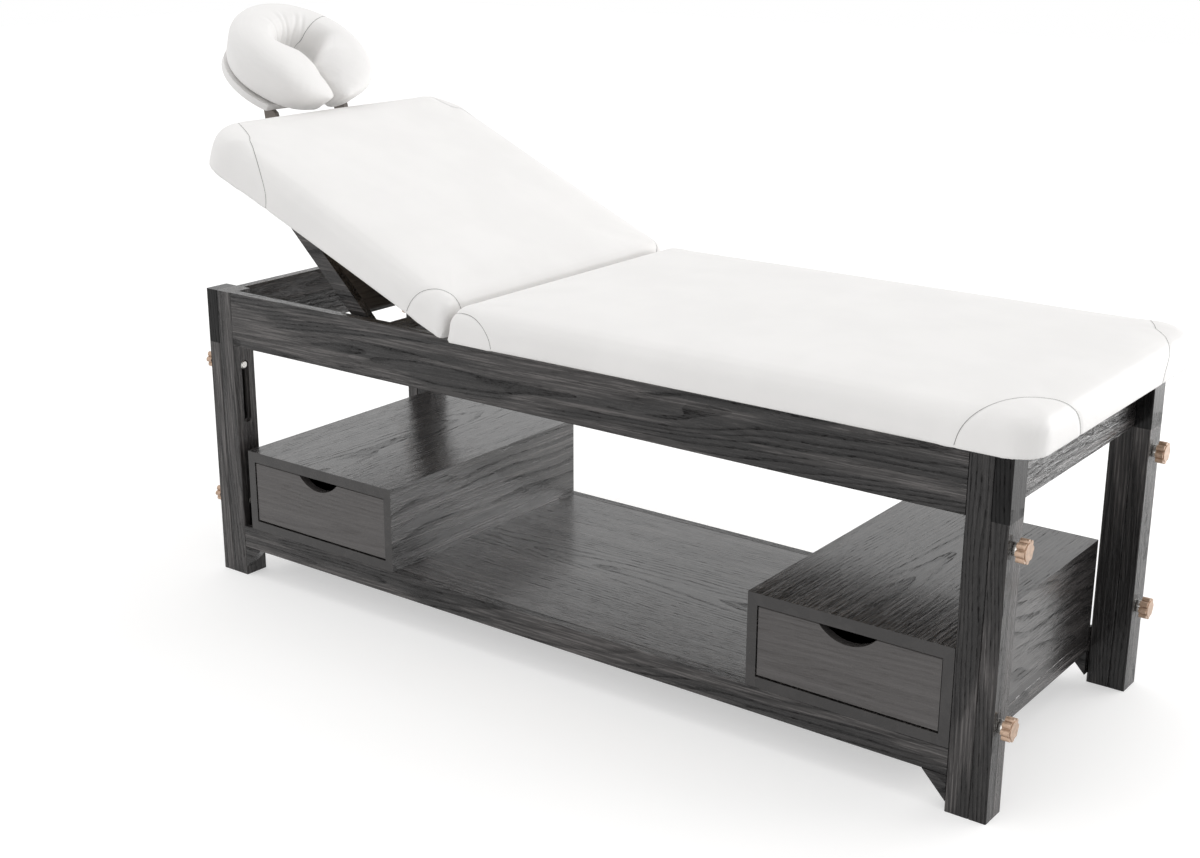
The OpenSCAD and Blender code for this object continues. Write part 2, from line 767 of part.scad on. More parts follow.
module headrest_cross_bar() {
    color(steel) on_back() difference() {
        translate([-cross_bar_along, -cross_bar_l / 2, rod_z]) rotate([-90, 0, 0])
            cylinder(d = cross_bar_d, h = cross_bar_l);
        for (y = [-rod_pitch / 2, rod_pitch / 2])
            translate([-cross_bar_along, y, rod_z]) rotate([0, 90, 0]) cylinder(d = rod_d, h = rod_l);
    }
}

cross_bar_l = rod_pitch + 4 * rod_d;
cheek_t = 12;
cheek_wall = 7;

// The headrest's pieces are made with the cross bar's axis at the origin and the head at -x
module on_headrest() {
    on_back() translate([-cross_bar_along, 0, rod_z]) rotate([0, ring_tilt, 0]) children();
}

// Middle of the ring, seen from the cross bar's axis along and across the tilted plate
ring_dx = ring_along - cross_bar_along;
ring_dz = ring_up + back_z - rod_z;
ring_x = ring_dx * cos(ring_tilt) + ring_dz * sin(ring_tilt);
ring_z = -ring_dx * sin(ring_tilt) + ring_dz * cos(ring_tilt);
plate_z = ring_z - ring_under;

function ring_ellipse(a, b, n) = [for (i = [0:n - 1]) [a * cos(360 * i / n), b * sin(360 * i / n)]];

plate_b = ring_w / 2 - plate_in / 2;
hole_a = ring_l / 2 - lobe_w * 0.92;
hole_b = ring_w / 2 - lobe_w * 0.92;

module headrest_plate() {
    color(pale) on_headrest() translate([-ring_x, 0, plate_z]) difference() {
        intersection() {
            linear_extrude(plate_t) polygon(ring_ellipse(plate_a, plate_b, 64));
            translate([-2 * plate_a, -plate_b - over, -over])
                cube([2 * plate_a + ring_x - cross_bar_d, 2 * plate_b + 2 * over, plate_t + 2 * over]);
        }
        translate([0, 0, -over]) linear_extrude(plate_t + 2 * over) polygon(ring_ellipse(hole_a, hole_b, 48));
    }
}

module headrest_brackets() {
    color(steel) on_headrest()
        for (s = [-1, 1])
            translate([0, s > 0 ? cross_bar_l / 2 - cheek_t : -cross_bar_l / 2, 0]) difference() {
                union() {
                    rotate([-90, 0, 0]) cylinder(d = cross_bar_d + 2 * cheek_wall, h = cheek_t);
                    translate([0, cheek_t, 0]) rotate([90, 0, 0]) linear_extrude(cheek_t) polygon([
                        [cross_bar_d / 2 + cheek_wall, 0], [-cross_bar_d / 2, plate_z],
                        [-ring_x + hole_a, plate_z], [-cross_bar_d, -cross_bar_d / 2],
                    ]);
                }
                translate([0, -over, 0]) rotate([-90, 0, 0])
                    cylinder(d = cross_bar_d + 2 * pin_gap, h = cheek_t + 2 * over);
            }
}

// The face ring is a padded lobe swept round a C that opens towards the backrest

ring_rings = 29;
lobe_sides = 16;
path_a = ring_l / 2 - lobe_w / 2;
path_b = ring_w / 2 - lobe_w / 2;
gap_angle = asin(ring_gap / 2 / path_b);
// Towards each end, a section's distance from the end, its width and the height of its top
end_shares = [[0, 0.8, 0.3], [0.04, 0.92, 0.44], [0.12, 0.98, 0.57], [0.3, 1, 0.75], [0.56, 1, 0.91], [0.86, 1, 1]];
end_count = len(end_shares);
degree = 180 / PI;
function end_angle(k) = gap_angle + end_shares[k][0] * lobe_w / path_b * degree;
function half_angle(k) = k < end_count ? end_angle(k)
    : end_angle(end_count - 1)
        + (180 - end_angle(end_count - 1)) * (k - end_count + 1) / ((ring_rings - 1) / 2 - end_count + 1);
function ring_angle(i) = i <= (ring_rings - 1) / 2 ? half_angle(i) : 360 - half_angle(ring_rings - 1 - i);
function end_size(i, axis) = let (k = min(i, ring_rings - 1 - i)) k < end_count ? end_shares[k][axis] : 1;

// A section of the lobe, as shares of its half sizes: full sides, a round top and a flatter base
function lobe_point(a, width, top) = let (c = cos(a), q = sin(a))
    [lobe_w / 2 * width * sign(c) * pow(abs(c), 0.75),
     ring_t / 2 * (q > 0 ? top : (1 + width) / 2) * sign(q) * pow(abs(q), q > 0 ? 0.8 : 0.65)];

module face_ring() {
    rings = [for (i = [0:ring_rings - 1])
        let (t = ring_angle(i))
        let (nx = cos(t) / path_a, ny = sin(t) / path_b, nl = sqrt(nx * nx + ny * ny))
        [for (j = [0:lobe_sides - 1]) let (p = lobe_point(360 * j / lobe_sides, end_size(i, 1), end_size(i, 2)))
            [path_a * cos(t) + p[0] * nx / nl, path_b * sin(t) + p[0] * ny / nl, p[1]]]];
    n = lobe_sides;
    m = ring_rings;
    function centre(r) = [for (k = [0:2]) [for (q = r) q[k]] * [for (q = r) 1 / n]];
    points = concat([for (r = rings) each r], [centre(rings[0]), centre(rings[m - 1])]);
    sides = [for (j = [0:m - 2], i = [0:n - 1]) let (k = (i + 1) % n)
        each [[j * n + i, (j + 1) * n + k, (j + 1) * n + i], [j * n + i, j * n + k, (j + 1) * n + k]]];
    first = [for (i = [0:n - 1]) [m * n, (i + 1) % n, i]];
    last = [for (i = [0:n - 1]) [m * n + 1, (m - 1) * n + i, (m - 1) * n + (i + 1) % n]];
    color(pale) on_headrest() translate([-ring_x, 0, ring_z]) polyhedron(points, concat(sides, first, last));
}

bed() at_corner(false, false) outer_leg();  // outer_leg_front_foot
bed() at_corner(false, true) outer_leg();  // outer_leg_rear_foot
bed() at_corner(true, false) outer_leg();  // outer_leg_front_head
bed() at_corner(true, true) outer_leg();  // outer_leg_rear_head
bed() clamp_bolts();
bed() at_corner(false, false) star_knob(clamp_high_z);  // knob_front_foot_high
bed() at_corner(false, false) star_knob(clamp_low_z);  // knob_front_foot_low
bed() at_corner(false, true) star_knob(clamp_high_z);  // knob_rear_foot_high
bed() at_corner(false, true) star_knob(clamp_low_z);  // knob_rear_foot_low
bed() at_corner(true, false) star_knob(clamp_high_z);  // knob_front_head_high
bed() at_corner(true, false) star_knob(clamp_low_z);  // knob_front_head_low
bed() at_corner(true, true) star_knob(clamp_high_z);  // knob_rear_head_high
bed() at_corner(true, true) star_knob(clamp_low_z);  // knob_rear_head_low
bed() at_corner(false, false) inner_leg();  // inner_leg_front_foot
bed() at_corner(false, true) inner_leg();  // inner_leg_rear_foot
bed() at_corner(true, false) inner_leg();  // inner_leg_front_head
bed() at_corner(true, true) inner_leg();  // inner_leg_rear_head
bed() corner_blocks();
bed() side_rail();  // front_side_rail
bed() mirror([0, 1, 0]) side_rail();  // rear_side_rail
bed() end_rail();  // foot_end_rail
bed() translate([-frame_l, 0, 0]) mirror([1, 0, 0]) end_rail();  // head_end_rail
bed() cross_beams();
bed() front_apron();
bed() rear_apron();
bed() lower_end_rails();
bed() apron_gussets();
bed() shelf_board();
bed() at_foot_cabinet() cabinet_sides(foot_cab_w);  // foot_cabinet_sides
bed() at_foot_cabinet() cabinet_top(foot_cab_w);  // foot_cabinet_top
bed() at_foot_cabinet() cabinet_base(foot_cab_w);  // foot_cabinet_base
bed() at_foot_cabinet() cabinet_back(foot_cab_w);  // foot_cabinet_back
bed() at_foot_cabinet() cabinet_runners(foot_cab_w);  // foot_cabinet_runners
bed() at_foot_cabinet() drawer_front(foot_cab_w);  // foot_drawer_front
bed() at_foot_cabinet() drawer_box(foot_cab_w);  // foot_drawer_box
bed() at_head_cabinet() cabinet_sides(head_cab_w);  // head_cabinet_sides
bed() at_head_cabinet() cabinet_top(head_cab_w);  // head_cabinet_top
bed() at_head_cabinet() cabinet_base(head_cab_w);  // head_cabinet_base
bed() at_head_cabinet() cabinet_back(head_cab_w);  // head_cabinet_back
bed() at_head_cabinet() cabinet_runners(head_cab_w);  // head_cabinet_runners
bed() at_head_cabinet() drawer_front(head_cab_w);  // head_drawer_front
bed() at_head_cabinet() drawer_box(head_cab_w);  // head_drawer_box
bed() seat_board();
bed() seat_cushion();
bed() seat_hinge_leaves();
bed() prop_racks();
bed() back_board();
bed() back_cushion();
bed() back_hinge_leaves();
bed() prop_brackets();
bed() headrest_sockets();
bed() prop_arms();
bed() prop_board();
bed() prop_foot_bar();
bed() headrest_rods();
bed() headrest_cross_bar();
bed() headrest_plate();
bed() headrest_brackets();
bed() face_ring();
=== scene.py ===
# Wooden treatment bed with white padded top, dressed round its packed construction.
import json
import math
from collections import namedtuple
import bpy
import numpy as np
from mathutils import Matrix, Vector
from mathutils.bvhtree import BVHTree
from mathutils.kdtree import KDTree


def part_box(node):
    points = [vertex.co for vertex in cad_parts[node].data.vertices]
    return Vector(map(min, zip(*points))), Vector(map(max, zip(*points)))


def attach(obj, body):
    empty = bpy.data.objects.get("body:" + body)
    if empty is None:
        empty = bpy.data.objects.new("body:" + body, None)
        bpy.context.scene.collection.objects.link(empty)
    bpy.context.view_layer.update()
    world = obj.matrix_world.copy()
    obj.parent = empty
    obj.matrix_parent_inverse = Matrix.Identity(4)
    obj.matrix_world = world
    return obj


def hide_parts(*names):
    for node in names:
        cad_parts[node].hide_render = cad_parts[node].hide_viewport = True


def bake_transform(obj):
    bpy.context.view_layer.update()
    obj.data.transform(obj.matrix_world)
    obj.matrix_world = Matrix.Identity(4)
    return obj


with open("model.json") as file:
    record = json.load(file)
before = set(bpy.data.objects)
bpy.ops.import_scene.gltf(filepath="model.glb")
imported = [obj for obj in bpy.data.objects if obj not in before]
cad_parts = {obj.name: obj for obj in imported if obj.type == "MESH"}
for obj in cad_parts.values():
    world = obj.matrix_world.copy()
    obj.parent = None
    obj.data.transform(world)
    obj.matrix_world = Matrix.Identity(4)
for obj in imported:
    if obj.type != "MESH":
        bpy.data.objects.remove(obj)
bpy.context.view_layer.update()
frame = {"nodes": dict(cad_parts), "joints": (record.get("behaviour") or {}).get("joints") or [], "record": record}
nodes = frame["nodes"]
joints = {j["name"]: j for j in frame["joints"]}
MM = 0.001

# Sizes that the soft pieces share with the frame, in metres
seat_low, seat_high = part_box("seat_cushion")
hinge = Vector(joints["backrest_hinge"]["pos_m"])
back_tilt = math.radians(-joints["backrest_hinge"]["range_deg"][0])
half_width = seat_high.y
seat_under = seat_low.z
seat_length = seat_high.x - hinge.x
board_gap = 0.5 * MM
back_under = seat_under - hinge.z + board_gap
back_length = 753 * MM
side_height = 78 * MM

# Camera, solved from the photograph's lines; its place in metres from the front foot leg's outer corner
CAMERA_FROM_LEG = (1.0094, -2.4235, 1.5011)
CAMERA_YAW = 36.81
CAMERA_PITCH = 17.67
CAMERA_ROLL = 0.19
SENSOR_WIDTH = 36
FOCAL_PIXELS = 1730
FRAME_PIXELS = 1200

# Studio: the floor lights the bed as white paint would, but shows itself fainter, with a glow of its own
FLOOR_REACH = 14
FLOOR_PAINT = (0.8, 0.8, 0.8)
FLOOR_SHOWN = (0.66, 0.655, 0.65)
FLOOR_GLOW = 0.47
WORLD_LEVEL = 0.5
# Soft suns: where each stands, over how many degrees it spreads, and its strength
SUNS = {
    "overhead": ((-0.25, 0.15, 1.0), 70, 1.0),
    "right_rear": ((1.0, 0.9, 0.55), 40, 0.9),
    "front_fill": ((-0.3, -1.0, 0.5), 60, 0.75),
}
WINDOW_PLACE = (2.1, 2.8, 0.6)
WINDOW_TARGET = (0.9, 0, 0.4)
WINDOW_SIZE = (1.5, 1.2)
WINDOW_WATTS = 40


def add_object(name, data):
    made = bpy.data.objects.new(name, data)
    bpy.context.scene.collection.objects.link(made)
    return made


def make_camera():
    data = bpy.data.cameras.new("camera")
    data.sensor_width = SENSOR_WIDTH
    data.lens = FOCAL_PIXELS / FRAME_PIXELS * data.sensor_width
    camera = add_object("camera", data)
    leg_low, leg_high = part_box("outer_leg_front_foot")
    place = (leg_high.x + CAMERA_FROM_LEG[0], leg_low.y + CAMERA_FROM_LEG[1], CAMERA_FROM_LEG[2])
    turn = Matrix.Rotation(math.radians(CAMERA_YAW), 4, "Z")
    turn = turn @ Matrix.Rotation(math.radians(90 - CAMERA_PITCH), 4, "X")
    turn = turn @ Matrix.Rotation(math.radians(CAMERA_ROLL), 4, "Z")
    camera.matrix_world = Matrix.Translation(place) @ turn
    bpy.context.scene.camera = camera


def aim(light, direction):
    """Turns a light so that it shines along the direction."""
    light.rotation_mode = "QUATERNION"
    light.rotation_quaternion = direction.to_track_quat("-Z", "Y")


def make_lights():
    for name, (toward, spread, strength) in SUNS.items():
        data = bpy.data.lights.new(name, "SUN")
        data.energy = strength
        data.angle = math.radians(spread)
        aim(add_object(name, data), -Vector(toward))
    data = bpy.data.lights.new("low_window", "AREA")
    data.shape = "RECTANGLE"
    data.size, data.size_y = WINDOW_SIZE
    data.energy = WINDOW_WATTS
    window = add_object("low_window", data)
    window.location = WINDOW_PLACE
    window.visible_camera = False
    aim(window, Vector(WINDOW_TARGET) - Vector(WINDOW_PLACE))


def new_node(tree, kind, values=None):
    """A node of the tree, with the named inputs set."""
    node = tree.nodes.new(kind)
    for socket, value in (values or {}).items():
        node.inputs[socket].default_value = value
    return node


def maths(tree, operation, first, second):
    """The operation on two values, each a number or an output."""
    node = tree.nodes.new("ShaderNodeMath")
    node.operation = operation
    for socket, value in zip(node.inputs, (first, second)):
        if isinstance(value, (int, float)):
            socket.default_value = value
        else:
            tree.links.new(value, socket)
    return node.outputs[0]


def times(tree, first, second):
    return maths(tree, "MULTIPLY", first, second)


def plus(tree, first, second):
    return maths(tree, "ADD", first, second)


def minus(tree, first, second):
    return maths(tree, "SUBTRACT", first, second)


def dimmed(tree, value, by, most):
    """The value, lessened by the share most where by is 1."""
    return times(tree, value, minus(tree, 1.0, times(tree, by, most)))


def show_apart(tree, out, lighting, shown):
    """Lets one shader light the bed, while the other is what the camera and reflections see."""
    path = tree.nodes.new("ShaderNodeLightPath")
    seen = path.outputs["Is Camera Ray"]
    for kind in ("Is Glossy Ray", "Is Transmission Ray"):
        seen = maths(tree, "MAXIMUM", seen, path.outputs[kind])
    mix = tree.nodes.new("ShaderNodeMixShader")
    tree.links.new(seen, mix.inputs["Fac"])
    tree.links.new(lighting.outputs[0], mix.inputs[1])
    tree.links.new(shown.outputs[0], mix.inputs[2])
    tree.links.new(mix.outputs[0], out.inputs["Surface"])


def make_world():
    world = bpy.data.worlds.new("studio")
    bpy.context.scene.world = world
    world.use_nodes = True
    tree = world.node_tree
    tree.nodes.clear()
    out = tree.nodes.new("ShaderNodeOutputWorld")
    light = new_node(tree, "ShaderNodeBackground", {"Color": (1, 1, 1, 1), "Strength": WORLD_LEVEL})
    seen = new_node(tree, "ShaderNodeBackground", {"Color": (1, 1, 1, 1), "Strength": 1})
    show_apart(tree, out, light, seen)


def make_floor():
    mesh = bpy.data.meshes.new("floor")
    reach = FLOOR_REACH
    corners = [(-reach, -reach, 0), (reach, -reach, 0), (reach, reach, 0), (-reach, reach, 0)]
    mesh.from_pydata(corners, [], [(0, 1, 2, 3)])
    floor = add_object("floor", mesh)
    material = bpy.data.materials.new("white_floor")
    material.use_nodes = True
    tree = material.node_tree
    tree.nodes.clear()
    out = tree.nodes.new("ShaderNodeOutputMaterial")
    paint = new_node(tree, "ShaderNodeBsdfDiffuse", {"Color": (*FLOOR_PAINT, 1)})
    faint = new_node(tree, "ShaderNodeBsdfDiffuse", {"Color": (*FLOOR_SHOWN, 1)})
    glow = new_node(tree, "ShaderNodeEmission", {"Strength": FLOOR_GLOW})
    both = tree.nodes.new("ShaderNodeAddShader")
    tree.links.new(faint.outputs[0], both.inputs[0])
    tree.links.new(glow.outputs[0], both.inputs[1])
    show_apart(tree, out, paint, both)
    mesh.materials.append(material)


# Materials

def new_material(name, color, roughness, metallic=0.0):
    material = bpy.data.materials.new(name)
    material.use_nodes = True
    tree = material.node_tree
    shader = tree.nodes["Principled BSDF"]
    shader.inputs["Base Color"].default_value = (*color, 1)
    shader.inputs["Roughness"].default_value = roughness
    shader.inputs["Metallic"].default_value = metallic
    return material, tree, shader


def mapped(tree, scale=(1, 1, 1), rotation=(0, 0, 0), location=(0, 0, 0), source=None):
    """The piece's own coordinates, or the source's, scaled, turned and moved."""
    node = new_node(tree, "ShaderNodeMapping", {"Scale": scale, "Rotation": rotation, "Location": location})
    if source is None:
        source = tree.nodes.new("ShaderNodeTexCoord").outputs["Object"]
    tree.links.new(source, node.inputs["Vector"])
    return node.outputs["Vector"]


def noise(tree, vector, scale, detail=2.0, roughness=0.5, distortion=0.0):
    node = new_node(tree, "ShaderNodeTexNoise", {
        "Distortion": distortion, "Scale": scale, "Detail": detail, "Roughness": roughness})
    tree.links.new(vector, node.inputs["Vector"])
    return node.outputs["Fac"]


def ramp(tree, value, low, high, start=0.0, end=1.0):
    """A smooth passage from start, where the value is low, to end, where it is high."""
    node = new_node(tree, "ShaderNodeMapRange", {
        "From Min": low, "From Max": high, "To Min": start, "To Max": end})
    node.interpolation_type = "SMOOTHSTEP"
    tree.links.new(value, node.inputs["Value"])
    return node.outputs["Result"]


def mix_colors(tree, factor, first, second):
    node = tree.nodes.new("ShaderNodeMix")
    node.data_type = "RGBA"
    tree.links.new(factor, node.inputs["Factor"])
    node.inputs["A"].default_value = (*first, 1)
    node.inputs["B"].default_value = (*second, 1)
    return node.outputs["Result"]


def bump(tree, shader, height, distance, strength):
    node = new_node(tree, "ShaderNodeBump", {"Strength": strength, "Distance": distance})
    tree.links.new(height, node.inputs["Height"])
    tree.links.new(node.outputs["Normal"], shader.inputs["Normal"])


# Black wood: plain is the share of the light tone that is there without streaks, figure the strength of the
# rings, clouds the share that dark clouds take, relief in millimetres, gloss the roughness, level the shine,
# waves how wavy the rings are, and fineness that of the streaks along and across the grain
WoodLook = namedtuple("WoodLook", "dark light plain figure clouds relief gloss level waves fineness")
WOOD_LOOKS = {
    "frame": WoodLook(
        dark=(0.006, 0.0054, 0.0055), light=(0.118, 0.108, 0.105), plain=0.30, figure=0.85, clouds=0.8,
        relief=0.45, gloss=0.14, level=0.40, waves=13, fineness=(6, 260)),
    # The corner blocks' near-black tones are painted shade: they stand in for the shade and dark reflections under
    # the seat's overhang
    "block": WoodLook(
        dark=(0.003, 0.0028, 0.003), light=(0.012, 0.011, 0.011), plain=0.30, figure=1.0, clouds=0.5,
        relief=0.10, gloss=0.10, level=0.22, waves=6, fineness=(6, 260)),
    "panel": WoodLook(
        dark=(0.007, 0.0063, 0.0063), light=(0.090, 0.082, 0.080), plain=0.20, figure=1.0, clouds=0.3,
        relief=0.12, gloss=0.14, level=1.0, waves=9, fineness=(3, 300)),
    "front": WoodLook(
        dark=(0.062, 0.0570, 0.0555), light=(0.094, 0.087, 0.085), plain=0.30, figure=0.35, clouds=0.2,
        relief=0.04, gloss=0.24, level=0.55, waves=9, fineness=(3, 300)),
    "grey": WoodLook(
        dark=(0.045, 0.042, 0.042), light=(0.085, 0.080, 0.079), plain=0.20, figure=1.0, clouds=0.4,
        relief=0.12, gloss=0.3, level=0.5, waves=6, fineness=(3, 300)),
}
# Turns the grain's own X onto the board's long axis
GRAIN_TURN = {"X": (0, 0, 0), "Y": (0, 0, math.pi / 2), "Z": (0, math.pi / 2, 0)}
# A board wider than this in its thin direction is squeezed to it, so that the rings stay long on its faces
THIN_BOARD = 0.12
# Streaks and pores follow the heart's tilt by this share only
STREAK_TILT = 0.25
# Growth rings: how close they stand, how they stretch along the board, and how close their waves stand
RING_CLOSENESS = 42
RING_STRETCH = (0.16, 1, 1)
WAVE_CLOSENESS = 0.42
# How close the dark clouds stand, and how much finer the pores are than the streaks, along and across
CLOUD_CLOSENESS = (2.0, 21, 21)
PORE_ALONG, PORE_ACROSS = 9, 2.2
# Where each figure begins and where it is full, as tones of its own pattern
EARLY_WOOD = (0.5, 0.92)
PORES = (0.5, 0.64)
STREAKS = (0.45, 0.64)
CLOUDS = (0.57, 0.45)
# In light wood, above the first tone, the rings fade to the last share; below the second tone they are full
RINGS_FADE = (0.62, 0.44, 0.3)
# Depth of the pores outside early wood, as a share, and how high the streaks stand
LATE_PORES = 0.3
STREAK_HEIGHT = 0.8
# End grain begins and is full where a face is turned so far along the grain; it is speckled by this share
END_GRAIN = (0.6, 0.9)
SPECKLE = 0.35
# How much early wood, pores and end grain take from the tone and from the shine, and pores add to roughness
RINGS_DARKEN, PORES_DARKEN = 0.8, 0.5
RINGS_DULL, PORES_DULL, ENDS_DULL = 0.4, 0.7, 0.45
PORES_ROUGHEN = 0.3
# The shine's one value, as a share, where a reader drops the value that follows the grain
PLAIN_SHINE = 0.8


def grain_place(tree, name, grain, seed):
    """Coordinates along a board's own grain: from the tree's heart, just outside its face, and along its
    fibres. Each board, by its seed, is cut from another place of the tree and at another slight tilt."""
    low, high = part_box(name)
    size = high - low
    across = {"X": (size.y, size.z), "Y": (size.x, size.z), "Z": (size.y, size.x)}[grain]
    thin = 1 if across[0] <= across[1] else 2
    squeeze = [1, 1, 1]
    squeeze[thin] = min(1, THIN_BOARD / across[thin - 1])
    shift = [0.31 * seed % 1.7, 0, 0]
    shift[thin] = 0.045 + 0.011 * (seed % 4)
    shift[3 - thin] = 0.016 * (seed % 5 - 2)
    tilt = (0, 0.03 + 0.012 * (seed % 3), 0.028 - 0.019 * (seed % 4))
    centred = mapped(tree, location=-(low + high) / 2)
    along = mapped(tree, rotation=GRAIN_TURN[grain], source=centred)
    squeezed = mapped(tree, scale=squeeze, source=along)
    heart = mapped(tree, rotation=tilt, location=shift, source=squeezed)
    slight = tuple(STREAK_TILT * angle for angle in tilt)
    return heart, mapped(tree, rotation=slight, location=shift, source=along)


def side_grain(tree, grain):
    """1 on a board's long faces and 0 on its end grain."""
    split = tree.nodes.new("ShaderNodeSeparateXYZ")
    tree.links.new(tree.nodes.new("ShaderNodeTexCoord").outputs["Normal"], split.inputs["Vector"])
    return ramp(tree, maths(tree, "ABSOLUTE", split.outputs[grain], 0.0), *END_GRAIN, 1.0, 0.0)


def growth_rings(tree, heart, waves):
    """Growth rings round the heart, each rising slowly and ending at an edge."""
    rings = new_node(tree, "ShaderNodeTexWave", {
        "Scale": RING_CLOSENESS, "Distortion": waves, "Detail": 1, "Detail Scale": WAVE_CLOSENESS})
    rings.wave_type = "RINGS"
    rings.rings_direction = "X"
    rings.wave_profile = "SAW"
    tree.links.new(mapped(tree, scale=RING_STRETCH, source=heart), rings.inputs["Vector"])
    return rings.outputs["Fac"]


def black_ash(name, grain, seed, look):
    """Black-stained open-pored ash: growth rings round a tilted heart, streaks and long pores along them; the
    light streaks in its colour are partly grain and partly painted highlight.
    """
    material, tree, shader = new_material(f"ash_{name}", look.dark, look.gloss)
    heart, placed = grain_place(tree, name, grain, seed)
    sides = side_grain(tree, grain)
    ends = minus(tree, 1.0, sides)
    tone = noise(tree, mapped(tree, scale=CLOUD_CLOSENESS, source=placed), 1.0, 3, 0.55, 0.8)

    rings = growth_rings(tree, heart, look.waves)
    early = times(tree, ramp(tree, rings, *EARLY_WOOD, 0.0, look.figure), sides)
    early = times(tree, early, ramp(tree, tone, *RINGS_FADE, 1.0))

    fine_along, fine_across = look.fineness
    fibre = (PORE_ALONG * fine_along, PORE_ACROSS * fine_across, PORE_ACROSS * fine_across)
    pores = noise(tree, mapped(tree, scale=fibre, source=placed), 1.0, 2, 0.6)
    pores = times(tree, ramp(tree, pores, *PORES), sides)
    depth = times(tree, pores, plus(tree, LATE_PORES, early))

    stripe = (fine_along, fine_across, fine_across)
    streak = noise(tree, mapped(tree, scale=stripe, source=placed), 1.0, 3, 0.65, 0.5)
    streak = times(tree, ramp(tree, streak, *STREAKS), sides)
    speckle = ramp(tree, noise(tree, mapped(tree), 900.0, 3, 0.6), 0.45, 0.65)
    streak = plus(tree, streak, times(tree, times(tree, speckle, ends), SPECKLE))

    # The streaks lighten the colour: partly the ash's own grain, partly a painted highlight standing in for glints
    # along its ridges
    shade = plus(tree, look.plain, times(tree, streak, 1 - look.plain))
    shade = dimmed(tree, shade, ramp(tree, tone, *CLOUDS), look.clouds)
    shade = dimmed(tree, shade, early, RINGS_DARKEN)
    shade = dimmed(tree, shade, depth, PORES_DARKEN)
    tree.links.new(mix_colors(tree, shade, look.dark, look.light), shader.inputs["Base Color"])

    shine = dimmed(tree, 1.0, depth, PORES_DULL)
    shine = dimmed(tree, shine, early, RINGS_DULL)
    shine = dimmed(tree, shine, ends, ENDS_DULL)
    shader.inputs["Specular IOR Level"].default_value = PLAIN_SHINE * look.level
    tree.links.new(times(tree, shine, look.level), shader.inputs["Specular IOR Level"])

    rough = plus(tree, look.gloss, times(tree, depth, PORES_ROUGHEN))
    tree.links.new(rough, shader.inputs["Roughness"])
    height = minus(tree, times(tree, streak, STREAK_HEIGHT), depth)
    bump(tree, shader, height, look.relief * MM, 0.9)
    return material


def metal(name, color, roughness):
    """Bare metal, worn unevenly."""
    material, tree, shader = new_material(name, color, roughness, 1.0)
    worn = noise(tree, mapped(tree), 260.0, 4, 0.6)
    tree.links.new(ramp(tree, worn, 0.3, 0.75, roughness * 0.75, roughness * 1.4), shader.inputs["Roughness"])
    bump(tree, shader, worn, 0.03 * MM, 0.5)
    return material


def powder_coat(name, color):
    material, tree, shader = new_material(name, color, 0.45)
    grain = noise(tree, mapped(tree), 900, 2)
    tree.links.new(ramp(tree, grain, 0.3, 0.7, 0.38, 0.55), shader.inputs["Roughness"])
    bump(tree, shader, grain, 0.06 * MM, 0.6)
    return material


def bronze_lacquer(name):
    material, tree, shader = new_material(name, (0.5, 0.34, 0.24), 0.34, 0.25)
    streak = noise(tree, mapped(tree), 160, 4, 0.65)
    color = mix_colors(tree, ramp(tree, streak, 0.3, 0.7), (0.40, 0.27, 0.185), (0.58, 0.41, 0.30))
    tree.links.new(color, shader.inputs["Base Color"])
    tree.links.new(ramp(tree, streak, 0.2, 0.8, 0.28, 0.46), shader.inputs["Roughness"])
    bump(tree, shader, streak, 0.05 * MM, 0.4)
    return material


def plywood(name):
    material, tree, shader = new_material(name, (0.5, 0.37, 0.23), 0.6)
    grain = noise(tree, mapped(tree, scale=(6, 120, 400)), 1.0, 4, 0.6)
    color = mix_colors(tree, ramp(tree, grain, 0.35, 0.65), (0.42, 0.29, 0.17), (0.56, 0.43, 0.28))
    tree.links.new(color, shader.inputs["Base Color"])
    bump(tree, shader, grain, 0.15 * MM, 0.5)
    return material


def upholstery(name, color):
    """White artificial leather: a fine pebble grain with faint tension clouds."""
    material, tree, shader = new_material(name, color, 0.5)
    shader.inputs["Specular IOR Level"].default_value = 0.42
    place = mapped(tree)
    pebble = new_node(tree, "ShaderNodeTexVoronoi", {"Scale": 620})
    pebble.feature = "SMOOTH_F1"
    tree.links.new(place, pebble.inputs["Vector"])
    cloud = noise(tree, place, 7, 3, 0.55)
    fine = noise(tree, place, 1400, 2)
    tint = mix_colors(tree, ramp(tree, cloud, 0.3, 0.72), tuple(c * 0.965 for c in color), color)
    tree.links.new(tint, shader.inputs["Base Color"])
    rough = plus(tree, 0.42, times(tree, cloud, 0.16))
    tree.links.new(rough, shader.inputs["Roughness"])
    height = plus(tree, pebble.outputs["Distance"], times(tree, fine, 0.3))
    bump(tree, shader, height, 0.22 * MM, 0.55)
    return material


# How far the edges of the frame's pieces are rounded, in millimetres, and the slots where it differs
EDGE_WIDTH = 1.0
EDGE_WIDTHS = {"steel": 0.5, "grey_metal": 0.5, "white_panel": 4.5}
EDGE_SEGMENTS = 3
EDGE_ANGLE = math.radians(35)


def grain_axis(name):
    """Which way a wooden node's grain runs."""
    if name.startswith(("outer_leg", "inner_leg", "corner_blocks")):
        return "Z"
    if name.endswith(("cabinet_top", "cabinet_sides", "cabinet_base", "end_rail", "end_rails")):
        return "Y"
    return "Y" if name.startswith(("cross_beams", "prop_board")) else "X"


def wood_look(name, slot):
    if slot == "grey_board":
        return WOOD_LOOKS["grey"]
    # Corner blocks take the near-black look, which is painted shade
    if name.startswith("corner_blocks"):
        return WOOD_LOOKS["block"]
    if name.endswith("drawer_front"):
        return WOOD_LOOKS["front"]
    if "cabinet" in name or name == "shelf_board":
        return WOOD_LOOKS["panel"]
    return WOOD_LOOKS["frame"]


